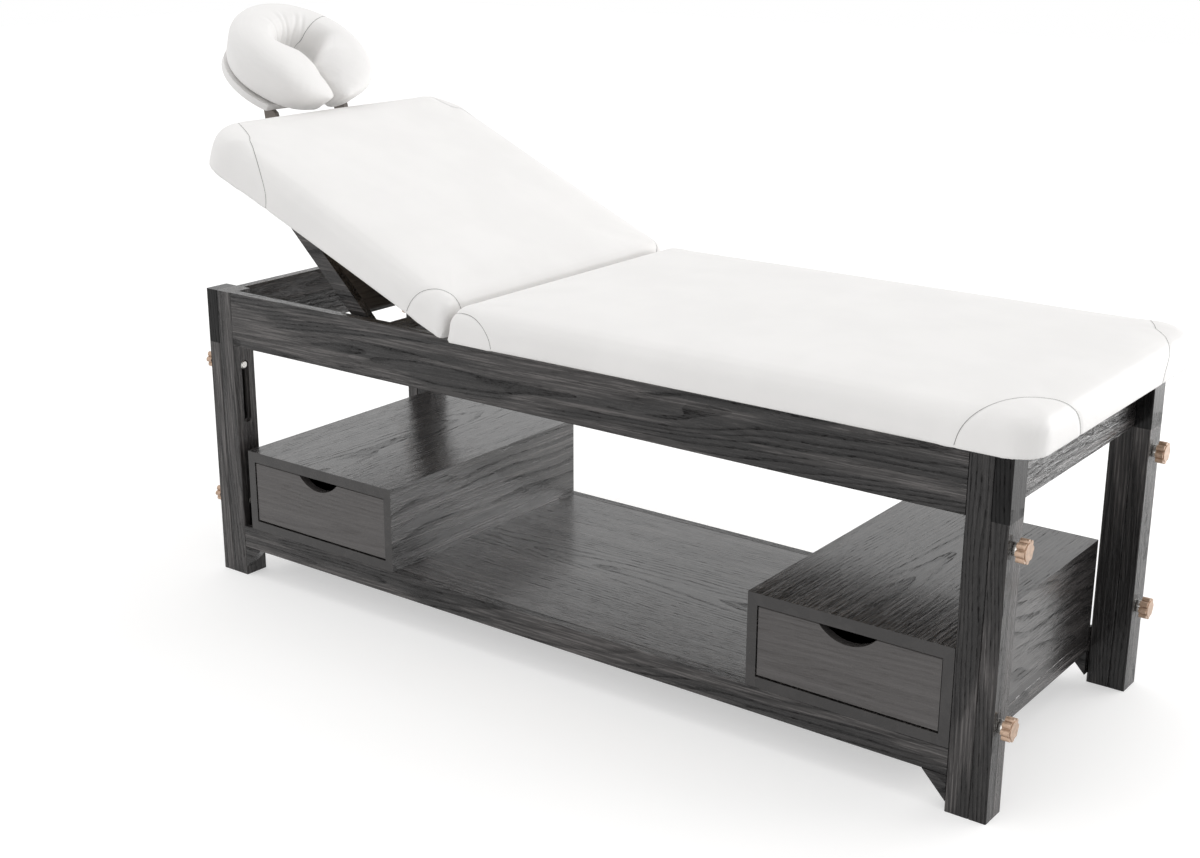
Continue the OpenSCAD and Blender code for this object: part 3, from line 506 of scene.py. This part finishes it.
def dress_frame():
    """Gives every carried-over CAD node its own material and a worn, softened edge."""
    of_slot = {
        "steel": metal("zinc_steel", (0.55, 0.54, 0.52), 0.32),
        "grey_metal": powder_coat("brown_grey_coat", (0.13, 0.11, 0.095)),
        "bronze_knob": bronze_lacquer("bronze_knob"),
        "plywood": plywood("birch_ply"),
        "white_upholstery": panel,
        "white_panel": panel,
    }
    slots = {r["node"]: r["material_slot"] for r in frame["record"]["subparts"]}
    for seed, (name, node) in enumerate(sorted(nodes.items())):
        slot = slots[name]
        if slot in of_slot:
            material = of_slot[slot]
        else:
            material = black_ash(name, grain_axis(name), seed, wood_look(name, slot))
        node.data.materials.clear()
        node.data.materials.append(material)
        soften = node.modifiers.new("soft_edge", "BEVEL")
        soften.width = EDGE_WIDTHS.get(slot, EDGE_WIDTH) * MM
        soften.segments = EDGE_SEGMENTS
        soften.limit_method = "ANGLE"
        soften.angle_limit = EDGE_ANGLE
        soften.harden_normals = True


# Meshes

def mesh_object(name, points, faces, material):
    mesh = bpy.data.meshes.new(name)
    mesh.from_pydata([tuple(p) for p in points], [], faces)
    mesh.update()
    piece = add_object(name, mesh)
    mesh.materials.append(material)
    return piece


def skin(rings):
    """Points and faces of a body through the closed rings, capped at both ends."""
    count = len(rings[0])
    points = [p for ring in rings for p in ring]
    faces = []
    for j in range(len(rings) - 1):
        for i in range(count):
            k = (i + 1) % count
            faces.append((j * count + i, j * count + k, (j + 1) * count + k, (j + 1) * count + i))
    faces.append(tuple(reversed(range(count))))
    faces.append(tuple((len(rings) - 1) * count + i for i in range(count)))
    return points, faces


def places(piece):
    """The places of the mesh's points, as an array."""
    return np.array([v.co for v in piece.data.vertices])


def facings(piece):
    """The normals at the mesh's points, as an array."""
    return np.array([v.normal for v in piece.data.vertices])


def set_places(piece, co):
    piece.data.vertices.foreach_set("co", co.astype(np.float32).ravel())
    piece.data.update()


def shade_smooth(piece):
    piece.data.polygons.foreach_set("use_smooth", [True] * len(piece.data.polygons))


def apply_modifiers(piece):
    graph = bpy.context.evaluated_depsgraph_get()
    made = bpy.data.meshes.new_from_object(piece.evaluated_get(graph), depsgraph=graph)
    old = piece.data
    piece.modifiers.clear()
    piece.data = made
    bpy.data.meshes.remove(old)


def remesh(piece, voxel):
    modifier = piece.modifiers.new("voxels", "REMESH")
    modifier.mode = "VOXEL"
    modifier.voxel_size = voxel
    modifier.use_smooth_shade = True
    apply_modifiers(piece)


def subdivide(piece):
    modifier = piece.modifiers.new("smooth", "SUBSURF")
    modifier.levels = 1
    modifier.render_levels = 1
    apply_modifiers(piece)
    shade_smooth(piece)


# Filling: the covers are cloth under pressure, for so many frames, and move out by less than the limit
CLOTH = {
    "vertex_group_mass": "held", "quality": 5, "mass": 0.3,
    "tension_stiffness": 20, "compression_stiffness": 20, "shear_stiffness": 10, "bending_stiffness": 0.8,
    "use_pressure": True, "uniform_pressure_force": 4.0,
}
FILL_FRAMES = 20
FILL_LIMIT = 4 * MM
# A cover starts this far inside its full shape, and is filled out to it
SHRINK = 3 * MM


def inflate(piece, held_below):
    """Fills the piece like a cover over foam; its points below the height held_below are held."""
    rest = places(piece)
    group = piece.vertex_groups.new(name="held")
    group.add([int(i) for i in np.nonzero(rest[:, 2] < held_below)[0]], 1.0, "REPLACE")
    cloth = piece.modifiers.new("cloth", "CLOTH")
    for setting, value in CLOTH.items():
        setattr(cloth.settings, setting, value)
    cloth.settings.effector_weights.gravity = 0
    cloth.collision_settings.use_collision = False
    cloth.point_cache.frame_start = 1
    cloth.point_cache.frame_end = FILL_FRAMES
    for step in range(1, FILL_FRAMES + 1):
        bpy.context.scene.frame_set(step)
    apply_modifiers(piece)
    move = places(piece) - rest
    size = np.linalg.norm(move, axis=1)
    limit = np.tanh(size / FILL_LIMIT) * FILL_LIMIT
    scale = np.where(size > 1e-9, limit / np.maximum(size, 1e-9), 0)
    set_places(piece, rest + move * scale[:, None])
    bpy.context.scene.frame_set(1)


# Seams

# A seam's section in millimetres: two low ridges, with the valley's two faces between them, which are painted dark
# as the shade in the seam's crease
WELT = [(-1.9, -0.5), (-1.3, 0.3), (-0.6, 0.2), (0.0, -0.5), (0.6, 0.2), (1.3, 0.3), (1.9, -0.5)]
VALLEY = (2, 3)
# How deep the seam is sunk in the skin, in millimetres, and how deep it draws the skin in
WELT_SINK = 0.6
GROOVE_DEPTH = 1.3 * MM
# Distance between a seam's points, and how often its line is smoothed
SEAM_STEP = 3 * MM
SEAM_SMOOTHING = 4


def level_line(piece, value):
    """The longest line on the mesh where the points' values cross zero, as points with normals."""
    co = places(piece)
    no = facings(piece)
    inside = value < 0
    crossing = {}
    neighbours = {}
    for polygon in piece.data.polygons:
        ids = list(polygon.vertices)
        flags = [inside[i] for i in ids]
        if all(flags) or not any(flags):
            continue
        hits = []
        for a, b in zip(ids, ids[1:] + ids[:1]):
            if inside[a] != inside[b]:
                low, high = min(a, b), max(a, b)
                key = (low, high)
                t = value[low] / (value[low] - value[high])
                crossing[key] = (co[low] * (1 - t) + co[high] * t, no[low] * (1 - t) + no[high] * t)
                hits.append(key)
        for a, b in zip(hits[::2], hits[1::2]):
            neighbours.setdefault(a, []).append(b)
            neighbours.setdefault(b, []).append(a)
    best = []
    left = set(neighbours)
    while left:
        ends = [k for k in left if len(neighbours[k]) == 1]
        key = min(ends) if ends else min(left)
        chain = []
        while key is not None:
            chain.append(key)
            left.discard(key)
            following = [k for k in neighbours[key] if k in left]
            key = following[0] if following else None
        if len(chain) > len(best):
            best = chain
    points = np.array([crossing[k][0] for k in best])
    normals = np.array([crossing[k][1] for k in best])
    return points, normals


def even_line(points, normals):
    """The line smoothed and divided evenly, as points with unit normals."""
    for _ in range(SEAM_SMOOTHING):
        points[1:-1] = (points[:-2] + 2 * points[1:-1] + points[2:]) / 4
        normals[1:-1] = (normals[:-2] + 2 * normals[1:-1] + normals[2:]) / 4
    gaps = np.linalg.norm(np.diff(points, axis=0), axis=1)
    along = np.concatenate([[0], np.cumsum(gaps)])
    count = max(int(along[-1] / SEAM_STEP), 2)
    marks = np.linspace(0, along[-1], count)
    line = np.stack([np.interp(marks, along, points[:, k]) for k in range(3)], 1)
    face = np.stack([np.interp(marks, along, normals[:, k]) for k in range(3)], 1)
    face /= np.linalg.norm(face, axis=1)[:, None]
    return line, face


def press_groove(piece, line, width):
    """Draws the skin in along a seam."""
    tree = KDTree(len(line))
    for i, p in enumerate(line):
        tree.insert(Vector(p), i)
    tree.balance()
    normals = [v.normal.copy() for v in piece.data.vertices]
    for v, n in zip(piece.data.vertices, normals):
        _, _, distance = tree.find(v.co)
        if distance < 3 * width:
            v.co -= n * GROOVE_DEPTH * math.exp(-((distance / width) ** 2))
    piece.data.update()


def sweep_welt(name, line, face):
    """A seam: two low ridges with a valley between them, laid a little below the line; the valley's faces are
    painted dark as shade.
    """
    line = line - face * WELT_SINK * MM
    run = np.gradient(line, axis=0)
    run /= np.linalg.norm(run, axis=1)[:, None]
    across = np.cross(run, face)
    across /= np.linalg.norm(across, axis=1)[:, None]
    points = []
    for p, n, c in zip(line, face, across):
        for u, h in WELT:
            points.append(p + c * u * MM + n * h * MM)
    width = len(WELT)
    faces = []
    for j in range(len(line) - 1):
        for i in range(width - 1):
            faces.append((j * width + i, j * width + i + 1, (j + 1) * width + i + 1, (j + 1) * width + i))
    piece = mesh_object(name, points, faces, panel)
    # The valley's faces take the dark material: painted shade in the seam's crease
    piece.data.materials.append(seam_shade)
    valley = [1 if i % (width - 1) in VALLEY else 0 for i in range(len(faces))]
    piece.data.polygons.foreach_set("material_index", valley)
    shade_smooth(piece)
    return piece


# Cushions, each in its own frame: x runs away from the hinge line and z away from the board

# Parts of a corner's and of a side's outline
CORNER_STEPS = 10
SIDE_STEPS = 30
# The sides' rounding at the top, how far the top is crowned, and how far the long sides draw in
TOP_EDGE = 38 * MM
CROWN = 6 * MM
SIDE_PULL = 4 * MM
# The lower edge as inset and height in millimetres, the arcs of the rounding, and rings on the top as shares
FOOT_PROFILE = [(6, 0), (2, 1.2), (0.4, 4), (0, 10)]
EDGE_ARCS = 8
TOP_RINGS = (0.12, 0.3, 0.5, 0.7, 0.9)
# At the hinge end the rounding reaches in by this share only
HINGE_SHARE = 0.55
HINGE_RADIUS = 13 * MM
SEAT_RADIUS = 62 * MM
BACK_RADIUS = 80 * MM
MIN_RADIUS = 2 * MM
# The two cushions lean away from each other at the hinge by half the backrest's tilt, with half a gap each
END_LEAN = back_tilt / 2
HALF_GAP = 0.6 * MM
# A cushion's points below this height are held while it fills
CUSHION_HELD = 4 * MM
CUSHION_VOXEL = 8 * MM
# How far a filled cover may bulge past the cushion's sides
BULGE = 4 * MM
# The lower edge is pressed down by the first, over a height of the second, and stays above the third
UNDER_PRESS = 5 * MM
UNDER_HEIGHT = 12 * MM
UNDER_GAP = 0.4 * MM
# The back's cushion is thicker by this at its head end
HEAD_LIFT = 18 * MM
# A cushion's seams draw the skin in over this width, and end at this height
CUSHION_GROOVE = 5 * MM
SEAM_FOOT = 2 * MM

to_seat = Matrix.Translation((hinge.x, 0, seat_under))
to_back = Matrix.Translation((hinge.x, 0, hinge.z)) @ Matrix.Rotation(back_tilt, 4, "Y")
to_back = to_back @ Matrix.Translation((0, 0, back_under)) @ Matrix.Scale(-1, 4, (1, 0, 0))


def rounded_outline(x0, x1, half, r0, r1, pull):
    """A closed outline with round corners, whose long sides draw in between them."""
    points = []
    corners = [(x1 - r1, half - r1, r1, 0), (x0 + r0, half - r0, r0, 90),
               (x0 + r0, -half + r0, r0, 180), (x1 - r1, -half + r1, r1, 270)]
    for index, (cx, cy, r, start) in enumerate(corners):
        for i in range(CORNER_STEPS + 1):
            a = math.radians(start + 90 * i / CORNER_STEPS)
            points.append((cx + r * math.cos(a), cy + r * math.sin(a)))
        nx, ny, nr, nstart = corners[(index + 1) % 4]
        end = (nx + nr * math.cos(math.radians(nstart)), ny + nr * math.sin(math.radians(nstart)))
        last = points[-1]
        inwards = -math.copysign(pull, last[1]) if index in (0, 2) else 0
        for i in range(1, SIDE_STEPS):
            s = i / SIDE_STEPS
            points.append((last[0] + (end[0] - last[0]) * s,
                           last[1] + (end[1] - last[1]) * s + inwards * math.sin(math.pi * s)))
    return points


def cushion_rings(length, far_radius):
    """Rings of a crowned cushion, from x = 0 at the leaning hinge end to x = length."""
    half = half_width
    thick = side_height - SHRINK
    profile = [(inset * MM, z * MM) for inset, z in FOOT_PROFILE]
    profile.append((0.0, thick - TOP_EDGE))
    for i in range(1, EDGE_ARCS + 1):
        a = math.pi / 2 * i / EDGE_ARCS
        profile.append((TOP_EDGE * (1 - math.cos(a)), thick - TOP_EDGE + TOP_EDGE * math.sin(a)))
    for s in TOP_RINGS:
        profile.append((TOP_EDGE + s * (half - TOP_EDGE), thick + CROWN * (1 - (1 - s) ** 2)))
    rings = []
    for inset, z in profile:
        f = max(1 - inset / half, 0.05)
        drawn = inset + SHRINK
        near = drawn * HINGE_SHARE if inset <= TOP_EDGE else TOP_EDGE * HINGE_SHARE + (inset - TOP_EDGE)
        x0 = z * math.tan(END_LEAN) + near + SHRINK
        outline = rounded_outline(x0, length - drawn, half - drawn, max(HINGE_RADIUS * f, MIN_RADIUS),
                                  max(far_radius * f, MIN_RADIUS), SIDE_PULL * f)
        rings.append([(x, y, z) for x, y in outline])
    return rings


def upholstered(name, length, far_radius, lift=0):
    """A filled cushion, thicker by lift at the end away from the hinge."""
    points, faces = skin(cushion_rings(length, far_radius))
    piece = mesh_object(name, points, faces, white)
    remesh(piece, CUSHION_VOXEL)
    inflate(piece, CUSHION_HELD)
    subdivide(piece)
    co = places(piece)
    co[:, 2] -= UNDER_PRESS * np.exp(-((co[:, 2] / UNDER_HEIGHT) ** 2))
    co[:, 2] = np.maximum(co[:, 2], UNDER_GAP)
    co[:, 1] = np.clip(co[:, 1], -half_width - BULGE, half_width + BULGE)
    co[:, 2] += lift * np.clip(co[:, 0] / length, 0, 1) * np.clip(co[:, 2] / side_height, 0, 1)
    hinge_face = co[:, 2] * math.tan(END_LEAN) + HALF_GAP
    co[:, 0] = np.clip(co[:, 0], hinge_face, length + BULGE)
    set_places(piece, co)
    return piece


def corner_seams(piece, name, corners):
    """Presses a patch's seam into each corner, and gives each seam's name, line and normals. A seam runs
    where the skin meets an egg with the given centre, in metres, and half sizes, in millimetres."""
    made = []
    for label, centre, half in corners:
        half = np.array(half) * MM
        points, normals = level_line(piece, (((places(piece) - centre) / half) ** 2).sum(1) - 1)
        keep = points[:, 2] > SEAM_FOOT
        line, face = even_line(points[keep], normals[keep])
        press_groove(piece, line, CUSHION_GROOVE)
        made.append((f"{name}_{label}", line, face))
    return made


def set_down(piece, place):
    """Moves a piece from its own frame to its place, also where that place is mirrored."""
    piece.data.transform(place)
    if place.determinant() < 0:
        piece.data.flip_normals()
    piece.data.update()


def build_seat():
    piece = upholstered("seat_cover", seat_length, SEAT_RADIUS)
    corners = [
        ("front_foot_seam", (seat_length - 8 * MM, -half_width, -11 * MM), (135, 192, 116)),
        ("rear_foot_seam", (seat_length - 8 * MM, half_width, -11 * MM), (135, 192, 116)),
        ("front_hinge_seam", (48 * MM, -half_width, 0), (74, 60, 64)),
        ("rear_hinge_seam", (48 * MM, half_width, 0), (74, 60, 64)),
    ]
    seams = corner_seams(piece, "seat", corners)
    set_down(piece, to_seat)
    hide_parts("seat_cushion")
    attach(piece, "table")
    for name, line, face in seams:
        welt = sweep_welt(name, line, face)
        set_down(welt, to_seat)
        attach(welt, "table")


def build_back():
    piece = upholstered("back_cover", back_length, BACK_RADIUS, HEAD_LIFT)
    corners = [
        ("front_head_seam", (back_length, -half_width, 0), (232, 135, 113)),
        ("rear_head_seam", (back_length, half_width, 0), (232, 135, 113)),
        ("front_hinge_seam", (35 * MM, -half_width, 0), (70, 75, 98)),
        ("rear_hinge_seam", (35 * MM, half_width, 0), (70, 45, 98)),
    ]
    seams = corner_seams(piece, "back", corners)
    set_down(piece, to_back)
    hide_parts("back_cushion")
    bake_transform(piece)
    for name, line, face in seams:
        welt = sweep_welt(name, line, face)
        set_down(welt, to_back)
        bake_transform(welt)


# Face ring, in its own frame: the middle of its hole is the origin, and it opens towards +x

# Its place along and above the backrest's board, its tilt, the half axes of its middle line, its gap, and
# the length over which its ends take their shape
RING_ALONG = back_length + 119 * MM
RING_UP = 141 * MM
RING_TILT = math.radians(12)
RING_A = 98 * MM
RING_B = 119 * MM
RING_GAP = 12 * MM
LOBE_WIDE = 106 * MM
# The lobe's section in millimetres, from its foot outwards: a wall that flares up to a soft ridge
LOBE = [(31, -57), (41, -50), (46.5, -38), (52, -14), (56.5, 8), (56.5, 19), (50, 34), (35, 46), (14, 54),
        (-8, 56), (-26, 51), (-41, 37), (-50, 14), (-53, -10), (-52, -35), (-46, -51), (-34, -57), (0, -57)]
LOBE_POINTS = 48
LOBE_FOOT = -57 * MM
# The ring's points below this height are held while it fills
RING_HELD = -50 * MM
RING_VOXEL = 5 * MM
# Towards the gap: the distance from the end, the width and the height of the top, as shares
LOBE_ENDS = [(0, 0.80, 0.22), (0.02, 0.90, 0.26), (0.05, 0.95, 0.32), (0.12, 0.99, 0.43), (0.3, 1, 0.63),
             (0.6, 1, 0.85), (1.0, 1, 1)]
# Sections stand at these distances from the gap, in millimetres, and at so many even angles from the last one
NEAR_GAP = [0, 1.5, 4, 8, 13, 19, 26, 34, 44, 56, 70, 86]
ROUND_HEAD = 24
# The ring is squarer beside the gap: how much further out it reaches, where, over what angle, and from where
# outwards in the section
SHOULDER = 9 * MM
SHOULDER_AT = math.radians(40)
SHOULDER_WIDE = math.radians(24)
SHOULDER_RUN = 30 * MM
# The inner walls close in towards each other before the gap, by this share: from here on, over this length,
# and over this depth of the section
CLOSING = 0.55
CLOSING_FROM = -20 * MM
CLOSING_RUN = 60 * MM
CLOSING_DEPTH = 40 * MM
# The foot of the ends is tucked back, clear of the backrest's cushion: by how much, from how far down, over
# what height, and over what length
TUCK = 10 * MM
TUCK_FROM = 2 * MM
TUCK_HEIGHT = 36 * MM
TUCK_RUN = 70 * MM
# Pleats down the inner wall at the head: angle, depth in millimetres and width in degrees
PLEATS = [(149, 1.8, 3.0), (164, 2.3, 3.4), (181, 2.6, 3.2), (197, 2.2, 3.4), (213, 1.7, 3.0)]
# They begin at this distance outwards and this height, and deepen over this length
PLEAT_FROM = 5 * MM
PLEAT_FOOT = -45 * MM
PLEAT_FADE = 25 * MM
# They bend by this angle, in waves of so many radians a metre, and swell beside them by these shares
PLEAT_BEND = np.radians(3)
PLEAT_WAVES = 60
SWELL_HIGH = 0.35
SWELL_WIDE = 2.6
# The ring's cross seam as angle in degrees, distance outwards and up in millimetres
RING_SEAM = [(117, 54, -34), (118, 54, -6), (119, 51, 20), (121, 40, 40), (125, 18, 53), (131, -8, 57),
             (138, -28, 51), (145, -43, 36), (151, -52, 12), (156, -55, -14), (158, -54, -38)]
RING_SEAM_POINTS = 90
RING_GROOVE = 4 * MM


def spline_point(a, b, c, d, f):
    """The point at share f from b to c on a smooth line through the four points."""
    return 0.5 * (2 * b + (c - a) * f + (2 * a - 5 * b + 4 * c - d) * f ** 2
                  + (3 * b - a - 3 * c + d) * f ** 3)


def closed_spline(points, count):
    """A smooth closed line through the points, as count points."""
    points = np.array(points, float)
    total = len(points)
    line = []
    for k in range(count):
        s = k * total / count
        i = int(s)
        line.append(spline_point(*(points[(i + j) % total] for j in (-1, 0, 1, 2)), s - i))
    return np.array(line)


def open_spline(points, count):
    """A smooth line through the points, as count points, the last just short of its end."""
    points = np.array([points[0], *points, points[-1]], float)
    line = []
    for s in np.linspace(0, len(points) - 3.000001, count):
        i = int(s)
        line.append(spline_point(*points[i:i + 4], s - i))
    return np.array(line)


def share(value, start, run):
    """0 up to start, 1 from start + run on, and even between."""
    return min(max((value - start) / run, 0), 1)


def ring_point(t, u, v):
    """The point at angle t round the ring, u outwards from the lobe's middle and v up."""
    out = np.array([math.cos(t) / RING_A, math.sin(t) / RING_B, 0])
    out /= np.linalg.norm(out)
    return np.array([RING_A * math.cos(t), RING_B * math.sin(t), 0]) + out * u + np.array([0, 0, v])


def ring_skin():
    section = closed_spline(LOBE, LOBE_POINTS) * MM
    size = np.abs(section).max(0)
    section *= 1 - SHRINK / size
    first = math.asin((RING_GAP / 2 + SHRINK) / RING_B)
    angles = [first + d * MM / RING_B for d in NEAR_GAP]
    angles += list(np.linspace(angles[-1], math.pi, ROUND_HEAD)[1:])
    angles += [2 * math.pi - t for t in reversed(angles[:-1])]
    at, wide, top = zip(*LOBE_ENDS)
    rings = []
    for t in angles:
        turned = min(t, 2 * math.pi - t)
        away = (turned - first) * RING_B / LOBE_WIDE
        w = float(np.interp(away, at, wide))
        h = float(np.interp(away, at, top))
        out = SHOULDER * math.exp(-(((turned - SHOULDER_AT) / SHOULDER_WIDE) ** 2))
        ring = []
        for u, v in section:
            point = ring_point(t, u * w + out * share(u, 0, SHOULDER_RUN), v * (h if v > 0 else (1 + w) / 2))
            fore = share(point[0], CLOSING_FROM, CLOSING_RUN)
            inner = share(-u, 0, CLOSING_DEPTH)
            beside = abs(point[1]) * (1 - CLOSING * inner * fore * fore * (3 - 2 * fore))
            beside = max(beside, min(abs(point[1]), RING_GAP / 2 + SHRINK + 1 * MM))
            point[1] = math.copysign(beside, point[1])
            point[0] -= TUCK * share(-v, TUCK_FROM, TUCK_HEIGHT) * share(point[0], 0, TUCK_RUN)
            ring.append(tuple(point))
        rings.append(ring)
    return skin(rings)


def ring_places(co):
    """The angle round the ring, and the distance outwards and up from the lobe's middle, of each point."""
    t = np.arctan2(co[:, 1] / RING_B, co[:, 0] / RING_A)
    out = np.stack([np.cos(t) / RING_A, np.sin(t) / RING_B], 1)
    out /= np.linalg.norm(out, axis=1)[:, None]
    path = np.stack([RING_A * np.cos(t), RING_B * np.sin(t)], 1)
    return t % (2 * math.pi), ((co[:, :2] - path) * out).sum(1), co[:, 2]


def press_pleats(piece):
    """Presses slightly bent pleats, each with low swells beside it, into the inner wall."""
    co = places(piece)
    no = facings(piece)
    t, u, v = ring_places(co)
    inner = np.clip((PLEAT_FROM - u) / PLEAT_FADE, 0, 1) * np.clip((v - PLEAT_FOOT) / PLEAT_FADE, 0, 1)
    inner = inner * inner * (3 - 2 * inner)
    depth = np.zeros(len(co))
    for angle, deep, wide in PLEATS:
        bend = PLEAT_BEND * np.sin(angle + PLEAT_WAVES * v)
        away = t - math.radians(angle) - bend
        depth += deep * MM * (np.exp(-((away / math.radians(wide)) ** 2))
                              - SWELL_HIGH * np.exp(-((away / math.radians(SWELL_WIDE * wide)) ** 2)))
    set_places(piece, co - no * (depth * inner)[:, None])


def laid_line(piece, ring_line):
    """A line on the piece's skin near the ring's places, as points with normals."""
    tree = BVHTree.FromPolygons([v.co for v in piece.data.vertices],
                                [tuple(p.vertices) for p in piece.data.polygons])
    points, normals = [], []
    for t, u, v in open_spline(ring_line, RING_SEAM_POINTS):
        found, normal, _, _ = tree.find_nearest(Vector(ring_point(math.radians(t), u * MM, v * MM)))
        points.append(found)
        normals.append(normal)
    return even_line(np.array(points), np.array(normals))


def build_ring():
    points, faces = ring_skin()
    piece = mesh_object("face_ring_cover", points, faces, white)
    remesh(piece, RING_VOXEL)
    inflate(piece, RING_HELD)
    subdivide(piece)
    press_pleats(piece)
    line, face = laid_line(piece, RING_SEAM)
    press_groove(piece, line, RING_GROOVE)
    co = places(piece)
    co[:, 2] = np.maximum(co[:, 2], LOBE_FOOT)
    set_places(piece, co)
    place = Matrix.Translation((hinge.x, 0, hinge.z)) @ Matrix.Rotation(back_tilt, 4, "Y")
    place = place @ Matrix.Translation((-RING_ALONG, 0, RING_UP + back_under))
    place = place @ Matrix.Rotation(RING_TILT, 4, "Y")
    welt = sweep_welt("face_ring_seam", line, face)
    for made in (piece, welt):
        set_down(made, place)
        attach(made, "headrest")
    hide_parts("face_ring")


# Metal sleeves behind the knobs, as distance from the leg and radius in millimetres
SLEEVE = [(0.2, 11.05), (0.2, 11.6), (0.7, 12.1), (7.8, 12.1), (8.4, 11.7), (8.6, 11.05)]
SLEEVE_SIDES = 48
SLEEVE_EDGE = 0.25 * MM


def build_sleeves():
    bright = metal("bright_sleeve", (0.72, 0.7, 0.67), 0.24)
    for name in sorted(n for n in nodes if n.startswith("knob_")):
        low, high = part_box(name)
        foot = "_foot_" in name
        start = low.x if foot else high.x
        away = 1 if foot else -1
        middle = (low + high) / 2
        points, faces = [], []
        for k in range(SLEEVE_SIDES):
            a = 2 * math.pi * k / SLEEVE_SIDES * away
            for along, radius in SLEEVE:
                points.append((start + away * along * MM, middle.y + radius * MM * math.cos(a),
                               middle.z + radius * MM * math.sin(a)))
        n = len(SLEEVE)
        for k in range(SLEEVE_SIDES):
            m = (k + 1) % SLEEVE_SIDES
            for i in range(n):
                j = (i + 1) % n
                faces.append((k * n + i, m * n + i, m * n + j, k * n + j))
        sleeve = mesh_object(name.replace("knob_", "sleeve_"), points, faces, bright)
        shade_smooth(sleeve)
        rims = sleeve.modifiers.new("rims", "BEVEL")
        rims.width = SLEEVE_EDGE
        rims.segments = 2
        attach(sleeve, name)


bpy.context.scene.view_settings.view_transform = "Standard"
make_camera()
make_world()
make_lights()
make_floor()
white = upholstery("white_upholstery", (0.855, 0.842, 0.83))
panel = upholstery("white_panel", (0.835, 0.822, 0.81))
# Dark grey for the seams' valleys: painted shade in their creases
seam_shade = upholstery("painted_seam_shade", (0.2, 0.195, 0.19))
dress_frame()
build_seat()
build_back()
build_ring()
build_sleeves()
